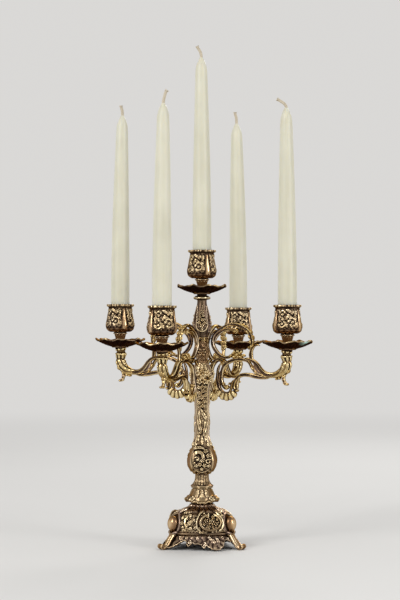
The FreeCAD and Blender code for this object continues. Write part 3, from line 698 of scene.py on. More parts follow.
def draw_apron(relief):
    """A shell over three drooping leaves beside the middle of a face, and small scrolls along the edge."""
    shell_x = math.radians(ORNAMENT_ANGLE + 4) * WALL_RADIUS
    relief.fan((shell_x, 16.5), 15, -88, 110, 5, 1)
    for x, root, tip, wide in ((-5.4, 15.4, 6.6, 4.4), (-1.2, 13, 3.8, 4.8), (3.6, 14.6, 4.6, 4.4)):
        relief.leaf((shell_x + x, root), (shell_x + x * 0.5 + 1.6, tip), wide, 1.7, 3, bend=0.14)
    for x, height in ((-22, 9), (5, 6.6), (47, 10.4)):
        eye = (math.radians(x) * WALL_RADIUS, height)
        relief.eye(eye, 2.4, 0.7, 90, -1.1, 1.3, 1.3)
        relief.bead(eye, 0.8, 1.4)
    for x in (-42, -30, -10, 38):
        relief.leaf((math.radians(x) * WALL_RADIUS, APRON_TOP), (math.radians(x + 3) * WALL_RADIUS, 10.6), 4.5, 1, 3)


def base_wall():
    """The base's hollow shell: ornament outside, a plain wall inside."""
    top = high("base")
    angle = circle(560)
    face = face_angle(angle)
    upper = curve_through([(z + top - 50, reach, corner) for z, reach, corner in BASE_PROFILE], 128)
    z_upper = upper[:, :1] + 0 * angle
    edge = smooth_table(face, APRON_EDGE)
    down = np.linspace(0, 1, 34)[1:, None]
    z_apron = z_upper[-1:] - down * (z_upper[-1:] - edge)
    z = np.vstack([z_upper, z_apron])
    radius = np.vstack([triangle_radius(angle, upper[:, 1:2], upper[:, 2:3]),
                        triangle_radius(angle, base_size(z_apron, 1), base_size(z_apron, 2))])

    relief = Relief(np.radians(face) * WALL_RADIUS + 0 * z, z)
    corner_relief = Relief(np.radians((face + 120) % 120 - 60) * WALL_RADIUS + 0 * z, z)
    draw_base_wall(relief, corner_relief)
    relief.raise_to(corner_relief.height)
    socket = np.hypot(corner_relief.x / 9.4, (z - EGG_HEIGHT) / 10.4)
    relief.height = relief.height - 5 * fade(socket, 0.7, 1.04)
    skirt = np.clip((16.4 - z) / 1.5, 0, 1)
    ripple = np.abs(np.sin(np.radians(face) * WALL_RADIUS / 2.1 + 0.5 * np.sin(z)))
    relief.raise_to(np.maximum(0.55 * ripple * skirt * (np.abs(face) < 50), 1.1 * hump(z - edge - 0.9, 0.8)))
    apron = Relief(relief.x, z)
    draw_apron(apron)
    relief.raise_to(1.4 * apron.height * skirt)
    neck = np.clip((z - 41.2) / 1.6, 0, 1) * np.clip((49.8 - z) / 1.2, 0, 1)
    relief.raise_to(1.5 * neck * np.abs(np.cos(np.radians(face) * 9)) ** 1.2)
    outer = raise_surface(ring_points(angle, radius, z)[::-1], relief.height[::-1])

    cup = fade(socket, 0.9, 1.02)
    above = smooth_table(z, [(40.5, 0), (43, 1)])
    ring = band(socket, 1, 1.06, 1.26, 1.36)
    skirt = fade(z, 13.5, 16.5)
    # the 0.05 lift above 43 mm is painted light, offsetting the shadow under the bell's lip
    shade = (1.14 * worn(relief.height, 3, 4) - 0.06) * (1 - cup) + 0.3 * cup + 0.05 * above
    shade = shade + 0.65 * ring * (0.5 - shade)
    shade = np.maximum(shade * (1 - 0.08 * skirt), 0.74 * hump(z - edge - 0.9, 0.9))
    tone = 0.3 * cup - np.maximum.reduce([0.5 * above, 0.6 * ring, 0.25 * skirt])

    levels = [edge + 0 * angle, edge + 1] + [share * (top - 7 - edge) + edge for share in (0.25, 0.5, 0.75, 1)]
    inner = np.concatenate([
        ring_points(angle, triangle_radius(angle, base_size(level, 1), base_size(level, 2)) - WALL_THICKNESS, level)
        for level in levels[::-1]])
    plain = np.ones(inner.shape[:2])
    return grid_block(np.concatenate([inner, outer]), np.vstack([0.18 * plain, np.clip(shade, 0, 1)[::-1]]),
                      np.vstack([0.5 * plain, tone[::-1]]))


def leg_blocks():
    """One scroll foot in the +X direction: an S strap whose end curls up, with a rib down its back."""
    path = curve_through([(36.5, 19), (39, 15.5), (41.8, 11), (44.6, 6.6), (47.4, 3.2), (50.6, 1.5),
                          (53.2, 1.7), (54.8, 3.4), (54.2, 5.3), (52.4, 5.5), (51.6, 4.3)], 90)
    share = np.linspace(0, 1, len(path))
    half_width = smooth_table(share, [(0, 6.4), (0.35, 5.2), (0.55, 5), (0.75, 5.8), (0.92, 5.4), (1, 4.4)])
    half_band = smooth_table(share, [(0, 2.6), (0.4, 2), (0.6, 1.7), (0.9, 1.3), (1, 1)])
    strap = bar_sweep(path, half_band, half_width, band_groove=0.22, columns=44, tone=0.85)
    rib_path = path[6:62] + 0.9
    count = len(rib_path)
    rib = bar_sweep(rib_path, tapered(count, 0.9, 1.1, 0.7), tapered(count, 1.6, 1.3, 0.9), columns=16, tone=0.6)
    spin = circle(28)[0]
    rings = [np.stack([52.6 + 1.2 * size * np.cos(spin), np.full(28, -width), 3.9 + 1.2 * size * np.sin(spin)],
                      axis=-1) for width, size in ((-6, 0.2), (-5.8, 0.9), (-4.6, 1), (4.6, 1), (5.8, 0.9), (6, 0.2))]
    return [strap, rib, grid_block(np.array(rings), 0.55, 0.8)]


def draw_base_cartouche(relief):
    """An open oval frame round a posy of flowers."""
    relief.ridge(oval_points(118, 422, 61, 12, 8.9), 2.5, 2.4, groove=0.15)
    relief.raise_to(0.9 * curls(relief.x, relief.y, 3, 11) * (np.hypot(relief.x / 10.6, relief.y / 7.6) < 1))
    relief.flowers([(0.6, 0.6, 3.8), (-5.6, 2.4, 3), (5.8, -1.6, 3.2), (-3, -4.2, 2.6), (2.6, 5.8, 2.6),
                    (-8.2, -2, 1.9), (7.4, 3.6, 2.2), (2.4, -5.8, 1.9), (-3.4, 7, 2.2)], 2.5, (1, 1))
    relief.leaves([((-1, -7.6), (-9.6, -4.6), 3, 2, 3), ((2, -8), (9.8, -5.4), 3, 2, 3)])
    relief.eye((-4, 9.6), 2.4, 0.9, -60, 1.1, 1.5, 2.2)
    relief.eye((6.4, 9.2), 2.2, 0.9, 240, -1.1, 1.5, 2.2)


def build_base():
    make_piece("base_shell", turn_blocks([base_wall()], FACE_TURN), BRASS, "stand", ["base"])
    blocks = []
    for leg in range(FACES):
        corner = 360 / FACES * leg
        face = corner + 180 / FACES
        blocks += turn_blocks(leg_blocks(), corner)
        centre = turned(np.array([[37.6, 0, EGG_HEIGHT]]), corner)[0]
        blocks.append(egg_block(centre, corner, (6.6, 7.6, 9)))
        direction = face + ORNAMENT_ANGLE
        centre = turned(np.array([[33.2, 0, 31.4]]), direction)[0]
        blocks.append(medallion(centre, direction - 3, 8, 13.8, 10.4, 2.4, 6, draw_base_cartouche))
    make_piece("base_ornament", turn_blocks(blocks, FACE_TURN), BRASS, "stand")


build_base()


# ---------------------------------------------------------------- turned castings


def sector_angle(angle, count):
    """Degrees from the middle of the nearest of count equal sectors, the first of which faces +X."""
    width = 360 / count
    return (np.degrees(angle) + width / 2) % width - width / 2


def lathe_grid(profile, rows, columns):
    """Angle, height and radius grids of a turned wall given bottom to top as (height, radius)."""
    wall = curve_through(profile, rows)
    angle = circle(columns)
    return angle, wall[:, :1] + 0 * angle, wall[:, 1:2] + 0 * angle


def pebble(centre, radii, lean=0, shade=0.72, tone=0):
    """A small rounded lump at (x, y, z), its own x axis tipped up by lean degrees."""
    unit = ball(14, 20, 0.05)
    x, y, z = np.moveaxis(unit * np.array(radii), -1, 0)
    up = math.radians(lean)
    points = np.stack([x * math.cos(up) - z * math.sin(up), y, x * math.sin(up) + z * math.cos(up)], axis=-1)
    bright = shade + 0.12 * (np.abs(unit[..., 1]) - 0.5)
    return grid_block((points + np.array(centre))[::-1], bright[::-1], tone)


# ---------------------------------------------------------------- bell collar

COLLAR_NECK = [(7.6, 15.6), (8.6, 14.4), (10.6, 13.3), (13, 12), (15.4, 10.9), (16.8, 10.4), (17.6, 10.8),
               (18.1, 12.2), (18.7, 12.6), (19.2, 12.4), (19.5, 11.8)]


def cast_on_stand(node, points, shade, tone=0):
    """One of the stand's castings, its faces turned the way the base's are."""
    blocks = turn_blocks([grid_block(points, np.clip(shade, 0, 1), tone)], FACE_TURN)
    make_piece(f"{node}_casting", blocks, BRASS, "stand", [node])


def collar_grids(lip_radius, lip_height):
    """Radius and height grids of the lobed bell, from under its lip up to its torus."""
    rows = [(12.6 + 0 * lip_radius, 0.6 + 0 * lip_height), (lip_radius - 2.4, lip_height + 0.9)]
    for out, up in ((0, 0), (0.5, 0.7), (0.55, 1.6), (0.1, 2.4), (-0.9, 3)):
        rows.append((lip_radius + out, lip_height + up))
    last_radius, last_height = rows[-1]
    for height, radius in COLLAR_NECK:
        blend = min((height - 7) / 2, 1)
        rows.append((radius * blend + (last_radius - 1.6) * (1 - blend),
                     height * blend + (last_height + 3.6) * (1 - blend)))
    coarse = np.array([[radius[0], height[0]] for radius, height in rows])
    place = np.linspace(0, len(coarse) - 1, 150)
    lower = np.minimum(place.astype(int), len(coarse) - 2)
    share = (place - lower)[:, None, None]
    fine = coarse[lower] * (1 - share) + coarse[lower + 1] * share
    return [box_blur(fine[:, axis], 3, 1) for axis in range(2)]


def build_bell_collar():
    angle = circle(380)
    face = np.abs(face_angle(angle))
    lip_radius = smooth_table(face, [(0, 17.6), (14, 17.9), (24, 17), (34, 18.4), (46, 19.6), (54, 20.8), (60, 21)])
    lip_height = smooth_table(face, [(0, 1.2), (14, 0.9), (24, 2.2), (34, 1.4), (46, 3.9), (54, 5.2), (60, 5)])
    radius, height = collar_grids(lip_radius, lip_height)
    relief = Relief(np.radians(face_angle(angle)) * 15 + 0 * height, height)
    zone = band(height, 7.5, 9, 15, 17)
    relief.raise_to(0.9 * np.abs(np.cos(np.radians(face) * 6)) ** 1.2 * (face < 45) * zone)
    for side in (-1, 1):
        relief.leaf((side * 5.4, 16.8), (side * 5.8, 7.6), 4.4, 1.9, 3)
        relief.eye((side * 10.4, 6.4), 2.3, 0.9, 90, side * 1.1, 1.7, 1.4)
    relief.leaf((0, 17), (0, 7), 4.6, 2, 4)
    for step in range(-6, 7):
        level = lerp_table(abs(step * 1.9) / 15 * 57.3, [(0, 2.2), (14, 2), (24, 3.2), (46, 4.4)])
        relief.bead((step * 1.9, level), 0.95, 0.6)
    points = raise_surface(ring_points(angle, radius, height + low("bell_collar")), relief.height)
    edge = hump(height - lip_height - 1.1, 0.9) * (radius > lip_radius - 0.6)
    smooth_side = smooth_table(face, [(44, 0), (54, 0.7), (60, 0.9)]) * zone
    shade = np.maximum.reduce([1.15 * worn(relief.height, 3, 4) + 0.02, 0.7 * edge, 0.74 * hump(height - 18.7, 0.7),
                               0.6 * smooth_side])
    cast_on_stand("bell_collar", points, shade, smooth_side)


build_bell_collar()


# ---------------------------------------------------------------- column

COLUMN_PROFILE = [
    (0, 12.4, 12.2), (0.6, 13.2, 12.8), (1.6, 12.9, 12.4), (2.8, 11, 10.6), (5, 8.9, 8.4), (8.5, 7.7, 7.2),
    (12.5, 7.5, 6.9), (14.6, 8.6, 7.2), (16.5, 11.4, 8), (20, 15.2, 8.8), (24, 17.4, 9.1), (28.5, 18.4, 9.2),
    (33, 18.1, 9.1), (38, 16.4, 8.6), (42.5, 14, 8), (46.5, 11.8, 7.4), (49.5, 10.8, 7), (53, 9.4, 6.2),
    (58, 8, 5.2), (66, 7.7, 4.9), (80, 7.9, 4.9), (96, 8.2, 5), (109, 8.7, 5.3), (114, 9.3, 5.8),
    (119.5, 11, 7.1), (124.5, 12.3, 8.4), (128.5, 12.8, 9), (131.5, 12, 8.8), (134.5, 10.4, 8),
    (138, 8.8, 7.4), (141, 7.6, 7), (142.5, 7, 6.8),
]


def draw_knop(relief):
    """A big scroll and flowers in a sunk oval, with the knop's corners left smooth."""
    x, y = relief.x, relief.y
    relief.raise_to(0.9 * curls(x, y, 2.8, 21) * fade(np.hypot(x / 10.8, (y - 30.4) / 13.4), 0.88, 1))
    relief.ridge(oval_points(0, 360, 73, 10.4, 13, 30.2)[40:70], 1.4, 1)
    relief.strand([(-9.6, 31), (-8.8, 36.4), (-4.6, 40), (-0.2, 38.6), (1.4, 34.6)], 26, 4.2, 2.7, 0.18)
    relief.eye((-5.2, 32), 3.4, 1.2, 200, -0.9, 1.8, 2)
    relief.bead((-5.2, 31.8), 1.5, 2.2)
    relief.eye((6.8, 29.6), 2.8, 1.2, 60, 1, 1.7, 2)
    relief.flowers([(4, 41, 2.9), (6.8, 36.2, 2.8), (0.8, 31, 3), (-2.2, 26.4, 2.7), (3, 25.4, 2.8), (-6.2, 25, 2.2),
                    (7.2, 24.6, 2), (-0.4, 21.4, 2.2), (-8.2, 28, 1.6)], 2.4)
    relief.leaves([((-8.6, 43.6), (4, 43), 4.6, 2.6, 3, 0.16), ((-3, 29.6), (4.6, 33.4), 3, 2.2, 3)])
    plain_side = smooth_table(np.abs(x), [(5.4, 0), (8, 0.5), (9, 0.6), (10.6, 1)])
    relief.height = relief.height * (1 - plain_side * band(y, 17, 21, 41, 45))


def draw_shaft(relief):
    """Long leaves rising to a spray of flowers between two plain edges."""
    x, y = relief.x, relief.y
    for side in (-1, 1):
        relief.strand([(side * 7, 47), (side * 5.9, 54), (side * 5.2, 64), (side * 5.4, 96), (side * 5.9, 112),
                       (side * 7.2, 121)], 40, 1.3, 1)
        relief.eye((side * 7.4, 48.6), 2.1, 0.9, 90, side, 1.7, 1.4)
        relief.leaf((side * 3.8, 52), (side * 2.2, 72), 3.4, 1.7, 5, bend=-side * 0.04)
    spread = smooth_table(y, [(60, 0), (68, 0.4), (88, 0.5), (94, 1), (116, 1), (120, 0)])
    relief.raise_to(1.3 * curls(x, y, 2.4, 31) ** 0.6 * fade(np.abs(x), 4.2, 5.2) * spread)
    relief.leaves([((-0.8, 62), (-2.8, 88), 5, 2.9, 3, 0.05), ((1.8, 60), (3, 85), 4.6, 2.7, 3, -0.06),
                   ((4.4, 77), (-1.6, 91), 4.4, 2.5, 3), ((0.4, 48), (0, 60), 3.6, 1.6, 4)])
    relief.flowers([(0.4, 93, 2.7), (-2.8, 97, 2.5), (2.6, 98.4, 2.8), (-0.6, 103, 3), (3.2, 105.4, 2.4),
                    (-3.2, 108, 2.6), (1.2, 110.6, 2.8), (-2.2, 73.6, 1.9), (2.2, 59.6, 1.8), (-1.8, 62.6, 1.8),
                    (-1.2, 114.6, 2.4), (3.4, 115.2, 2)], 2.3, (0, 1))


def draw_capital(relief):
    """A crowded posy, the largest flowers with a bead on each petal."""
    relief.raise_to(0.8 * curls(relief.x, relief.y, 3.6, 41) * band(relief.y, 116, 120, 133, 136))
    relief.flowers([(0.6, 127, 4.4), (-5.6, 130, 3.4), (6.4, 129.4, 3.2), (-3.2, 121.4, 3.4), (3.6, 121, 3.2),
                    (0.4, 133.4, 2.8), (-9.8, 126.4, 2.6), (9.8, 125.4, 2.6), (-7.6, 121.6, 2), (7.8, 122.4, 2)],
                   2.6, (2, 0))
    for x, y in ((0.6, 127.4), (-4.6, 131), (5, 130.4), (-2.8, 121.6), (3.4, 121.4)):
        for petal in np.radians(np.arange(5) * 72 + x * 30):
            relief.bead((x + 2.1 * math.cos(petal), y + 2.1 * math.sin(petal)), 1.45, 3.2)
    relief.leaf((0, 134), (0, 142), 4, 1.6, 3)
    for side in (-1, 1):
        relief.leaf((side * 5, 134), (side * 3, 141.4), 2.8, 1.3, 3)


def draw_column_face(relief):
    """One face of the column, from the flutes at its foot up."""
    relief.raise_to(0.7 * np.abs(np.cos(relief.x * 1.05)) ** 1.3 * band(relief.y, 2.4, 3.8, 11.5, 14.5))
    relief.leaf((0, 2), (0, 14.5), 4, 1.3, 4)
    for side in (-1, 1):
        relief.leaf((side * 4.6, 14.6), (side * 1.4, 19.4), 3, 1.3, 3)
        relief.leaf((side * 8.4, 17.6), (side * 4.8, 21.4), 3, 1.2, 3)
    draw_knop(relief)
    draw_shaft(relief)
    draw_capital(relief)


def build_column():
    wall = curve_through(COLUMN_PROFILE, 400)
    angle = circle(248)
    height = wall[:, :1] + 0 * angle
    mean = (wall[:, 1:2] + wall[:, 2:3]) / 2
    relief = Relief(np.radians(face_angle(angle)) * mean + 0 * height, height)
    draw_column_face(relief)
    radius = triangle_radius(angle, wall[:, 1:2], wall[:, 2:3])
    points = raise_surface(ring_points(angle, radius, height + low("column")), relief.height)

    contrast = 1.04 + 0.4 * band(height, 112, 119, 133, 137)
    shade = 0.46 + (worn(relief.height, 4, 3) - 0.5) * contrast
    # painted light: the column is lifted brighter with height, most on the capital where the arms and pans shade it,
    # and a painted pool of light lies on the middle of each face of the capital
    shade = shade + smooth_table(height, [(0, 0.06), (44, 0.02), (50, 0.14), (100, 0.16), (117, 0.24), (122, 0.36),
                                          (133, 0.34), (143, 0.2)])
    shade = shade + 0.42 * np.exp(-(relief.x / 8) ** 2 - ((height - 127) / 8) ** 2)
    corner = np.abs(face_angle(angle)) - smooth_table(height, [(44, 44), (54, 48)])
    bare = np.clip(corner / 6, 0, 1) * np.clip(1.2 - relief.height / 0.4, 0, 1)
    strip = smooth_table(height, [(0, 0.54), (44, 0.6), (56, 0.58), (143, 0.62)])
    # painted highlight and painted shade: a bright line along each smooth corner strip of the shaft, with a dark line
    # beside it, as a groove would catch them
    strip = strip + band(height, 48, 58, 112, 120) * (0.32 * hump(corner - 5.5, 1.8) - 0.26 * hump(corner - 1, 1.6))
    shade = shade * (1 - bare) + strip * bare
    # painted highlight: a bright line along each corner of the knop
    shade = np.clip(shade + 0.36 * band(height, 18, 24, 40, 46) * hump(corner - 1.6, 2), 0, 1)
    shade = np.maximum(shade, 0.7 * hump(height - 0.8, 0.8))
    tone = bare * smooth_table(height, [(0, -0.4), (16, 0.2), (24, 1), (40, 1), (56, -0.9)])
    cast_on_stand("column", points, shade, tone)


build_column()


# ---------------------------------------------------------------- hub and vase


def build_hub():
    profile = [(0, 6.8), (1.6, 6.9), (3, 5.9), (5.5, 6.2), (9, 6.6), (14, 6.8), (19, 6.5), (21.6, 6.2),
               (23, 7), (24, 7.2), (24.8, 6.9)]
    angle, height, radius = lathe_grid(profile, 110, 200)
    relief = Relief(np.radians(face_angle(angle)) * 6.8 + 0 * height, height)
    relief.raise_to(0.5 * curls(relief.x, height, 2.4, 51))
    relief.flower((0, 12.6), 5.4, 2.4, 6)
    relief.flower((0, 12.6), 2.6, 2.9, 5, phase=0.5)
    for side in (-1, 1):
        relief.leaf((side * 6.6, 4), (side * 6, 20), 3, 1.5, 4)
        relief.leaf((side * 2, 5.6), (side * 5.2, 2), 2.2, 1, 2)
    points = raise_surface(ring_points(angle, radius, height + low("rosette_hub")), relief.height)
    cast_on_stand("rosette_hub", points, worn(relief.height, 3, 3) * 1.05, 0.7)


def build_vase():
    profile = [(0, 6.9), (1.4, 7.1), (3, 7.3), (6, 8.6), (9.5, 9.6), (12.6, 9.9), (16.4, 9.6), (21, 8.9),
               (26, 8.2), (32.4, 6.8), (37, 5.8), (41.6, 5.4), (42.8, 5.8), (43.6, 8.4), (44.2, 9.4), (45.2, 9.8),
               (46.2, 9.5), (46.8, 8.2), (47.9, 7.4)]
    angle, height, radius = lathe_grid(profile, 170, 240)
    x = np.radians(face_angle(angle)) * 10 + 0 * height
    relief = Relief(x, height)
    ring = np.radians(np.linspace(-30, 210, 30))
    relief.ridge(np.stack([6.8 * np.cos(ring), 13.4 - 6.4 * np.sin(ring)], axis=1), 1.9, 1.5, groove=0.2)
    relief.raise_to(0.5 * curls(x, height, 2.2, 61) * (np.hypot(x / 6, (height - 16) / 8) < 1))
    relief.flowers([(0, 13.4, 2.9), (-3.2, 16.6, 2.2), (3.2, 16.2, 2.3), (0.2, 9.6, 1.8), (0.4, 19.8, 2.3),
                    (-1.8, 23.4, 1.8), (1.9, 24.6, 1.8)], 2.2)
    relief.leaf((1.4, 24), (1.6, 38), 4.6, 1.5, 5, bend=0.05)
    relief.leaf((-2.6, 23), (-1, 36), 3.6, 1.3, 4)
    relief.flower((-0.2, 27.4), 2.2, 1.7)
    relief.flower((2.8, 20.6), 1.8, 1.6)
    relief.flower((-3.2, 20.4), 1.8, 1.6)
    for side in (-1, 1):
        relief.leaf((side * 9.6, 5), (side * 7.6, 20), 3.4, 1.2, 4)
        relief.strand([(side * 6.4, 18), (side * 7.2, 26), (side * 8.6, 36)], 16, 1.4, 0.8)
    points = raise_surface(ring_points(angle, radius, height + low("vase")), relief.height)
    shade = worn(relief.height, 3, 3) + 0.24 * np.exp(-(x / 4.6) ** 2 - ((height - 14) / 5.5) ** 2)
    smooth_side = smooth_table(np.abs(face_angle(angle)), [(0, 0), (30, 0.1), (46, 0.6), (60, 0.7)]) * (height < 42)
    shade = np.maximum.reduce([1.16 * shade - 0.14, 0.85 * hump(height - 45.4, 1.3), 0.46 * smooth_side])
    cast_on_stand("vase", points, shade, -0.6 * smooth_side)


build_hub()
build_vase()


# ---------------------------------------------------------------- drip pans


def pan_block(hole, phase):
    """A shallow dish with an eight-lobed wavy rim and leaves spreading over its underside."""
    profile = [(0, hole), (0, 5.6), (2.4, 6), (3, 8.4), (4.1, 12.5), (5.6, 17), (7.4, 21.5), (9.2, 25.6), (10.2, 28),
               (11.1, 28.5), (11.6, 27.6), (10.6, 25), (8.6, 21), (6.2, 16.6), (4.2, 12.2), (3, 10), (1.7, 9.2),
               (1.6, hole)]
    angle, height, radius = lathe_grid(profile, 160, 300)
    spread = smooth_table(radius, [(12, 0), (22, 0.5), (28.3, 1)])
    wave = np.cos(8 * angle + phase) + 0.5 * np.cos(13 * angle + phase * 1.7) + 0.3 * np.cos(21 * angle)
    row = np.arange(len(height))[:, None]
    rim_row = int(np.argmax(radius[:, 0]))
    height = height + 0.85 * wave * spread
    radius = radius + 0.7 * np.cos(8 * angle + phase) * spread
    flecks = lattice_noise(angle * 7, 0 * angle + phase, 1, 95)
    under = Relief(np.radians(sector_angle(angle + phase / 8, 8)) * 18 + 0 * height, radius)
    under.leaf((0, 9), (0, 27), 9, 1.1, 5)
    for side in (-1, 1):
        under.leaf((side * 6, 13), (side * 5, 26), 4.2, 0.9, 4)
    below = row < rim_row
    rim = hump(row - rim_row - 1, 4)
    lift = np.where(below, under.height, 0.25 * under.height) + 0.7 * flecks * rim
    points = raise_surface(ring_points(angle, radius, height), lift)
    rubbed = worn(under.height, 3, 3)
    # painted shade: the underside is kept much darker than the top
    shade = np.where(below, 0.04 + 0.34 * rubbed, 0.26 + 0.4 * rubbed)
    shade = np.clip(np.maximum(shade, (0.34 + 0.46 * flecks) * rim), 0, 1)
    return grid_block(points, shade, 0.7 * (1 - rim), around=True)


def rim_stain(centre, reach):
    """Verdigris gathered round a point on a piece."""
    def amount(vertices):
        gap = np.linalg.norm(vertices - np.array(centre), axis=1)
        return 2.2 * np.clip(1 - gap / reach, 0, 1)
    return amount


# ---------------------------------------------------------------- candle cups

CUP_RADIUS = 14.5
CUP_PROFILE = [
    (0, 8.6), (1, 8.8), (1.8, 8), (3.4, 5.8), (6, 4.6), (9, 4.7), (12, 5.5), (14.4, 6.2), (15.6, 6.7), (16.2, 8),
    (17, 8.3), (17.7, 7.6), (18.2, 7.2), (18.9, 9.6), (20.2, 12.8), (22.4, 15), (25.6, 15.8), (29.4, 15.3),
    (33.5, 14.3), (38, 13.5), (42.5, 13.1), (45.5, 13.2), (47.4, 13.9), (48.6, 14.9), (49.6, 15.4), (50.6, 15.2),
    (51, 14.4), (51, 12.4), (50.4, 11.45), (48, 11.3), (30, 11.3), (29.1, 10.6), (29, 0.4),
]


def draw_cup(relief):
    """A third of the cup: swirls and leaves between two smooth lobes that run down into the bowl."""
    x, y = relief.x, relief.y
    relief.raise_to(1.1 * curls(x, y, 2, 71) * fade(np.abs(x), 11.6, 13.2) * band(y, 22, 24.5, 45.5, 47.5))
    for scroll in (((-5.6, 40), 3.6, 40, 210), ((5.2, 31.4), 3.8, 150, -220), ((-5.8, 29.6), 3.2, 200, 200)):
        relief.c_scroll(*scroll, 1.5, 1.6)
    for root, tip, width in (
            ((-1.6, 46), (6.4, 39.4), 4.2), ((1.6, 41), (-2.6, 33.4), 3.8), ((10.6, 44.8), (8.4, 36.6), 3.8),
            ((-3.4, 32.2), (-0.4, 24.4), 3.8), ((2.4, 29.4), (5.6, 22.8), 3.4), ((-11, 38.4), (-9, 30), 3.2),
            ((-10.6, 30), (-7, 23.4), 3.4), ((11, 32), (9, 23.8), 3.2), ((-11, 45.4), (-9.6, 39.4), 2.8)):
        relief.leaf(root, tip, width, 1.8, 3, bend=0.08)
    relief.flowers([(3.4, 36.4, 2.4), (0.4, 44.6, 1.6), (-6, 40, 1.9), (7, 42.8, 2), (-1.8, 28, 2.1),
                    (5.2, 31.2, 1.8), (-5.6, 34.6, 1.7), (9.2, 35.2, 1.7), (-5.8, 29.4, 1.5), (9, 28.8, 1.6),
                    (1.4, 32.4, 1.7), (0.8, 38.2, 1.5)], 1.8, (1, 1))
    half = smooth_table(y, [(22, 4), (30, 3.1), (38, 2.1), (46, 1.8)])
    lobe = np.sqrt(np.clip(1 - ((CUP_RADIUS * math.pi / 3 - np.abs(x)) / half) ** 2, 0, 1))
    relief.raise_to(2 * lobe * smooth_table(y, [(19, 0), (22, 0.7), (30, 0.9), (38, 1), (44.5, 0.6), (47, 0)]))
    bulge = np.abs(np.cos(x * math.pi / 6.75)) ** 0.7
    relief.raise_to(1.2 * bulge * smooth_table(y, [(18.4, 0), (19.6, 0.9), (22.4, 1), (25, 0)]))


def cup_block(turn):
    """A tulip socket on a flared stem. Foliage crowds three panels, with a plain lobe between each two."""
    angle, height, radius = lathe_grid(CUP_PROFILE, 200, 280)
    outside = np.arange(len(height))[:, None] < int(np.argmax(height[:, 0] >= 50.9))
    local = face_angle(angle)
    relief = Relief(np.radians(local) * CUP_RADIUS + 0 * height, height)
    draw_cup(relief)
    relief.raise_to(0.45 * np.abs(np.cos(np.radians(local) * 6)) ** 0.8 * band(height, 4, 7, 15, 15.8))
    scallop = (lattice_noise(angle * 12, 0 * angle, 1, 97) ** 1.4
               * smooth_table(height, [(47.8, 0), (49.4, 1), (50.8, 1), (51, 0.3)]))
    relief.raise_to(scallop)
    relief.height = relief.height * outside
    points = raise_surface(ring_points(angle, radius, height), relief.height)

    lobe = fade(60 - np.abs(local) - 0.3 * (30 - np.minimum(height, 45)), 6, 11)
    plain = np.maximum(lobe * band(height, 19, 20, 44, 47), band(height, 18.2, 19.2, 22, 24.5))
    # painted light: the stem is kept bright to offset the shadow of the pan and the bowl above it
    stem = smooth_table(height, [(0, 0.66), (4, 0.76), (14, 0.8), (15.8, 0.8), (17, 0.95), (17.9, 0.3), (18.4, 0.1),
                                 (19.4, 0)])
    rim = smooth_table(height, [(48.2, 0), (49.6, 0.4), (50.6, 0.5), (51, 0.4)])
    foliage = (worn(relief.height, 4, 4) * 1.05 - 0.06) * (1 - 0.6 * plain)
    gloss = (0.5 + 0.3 * np.clip(relief.height / 1.6, 0, 1)) * plain
    shade = np.maximum.reduce([foliage, gloss, stem, rim * (0.7 + 1.1 * scallop)])
    tone = np.maximum(plain, smooth_table(height, [(0, 0.4), (18, 0.6), (23, 0.7), (28, 0.1)]))
    block = grid_block(points, np.clip(np.where(outside, shade, 0.2), 0, 1), np.clip(tone, 0, 1) * outside)
    return turn_blocks([block], turn)[0]


# ---------------------------------------------------------------- arms

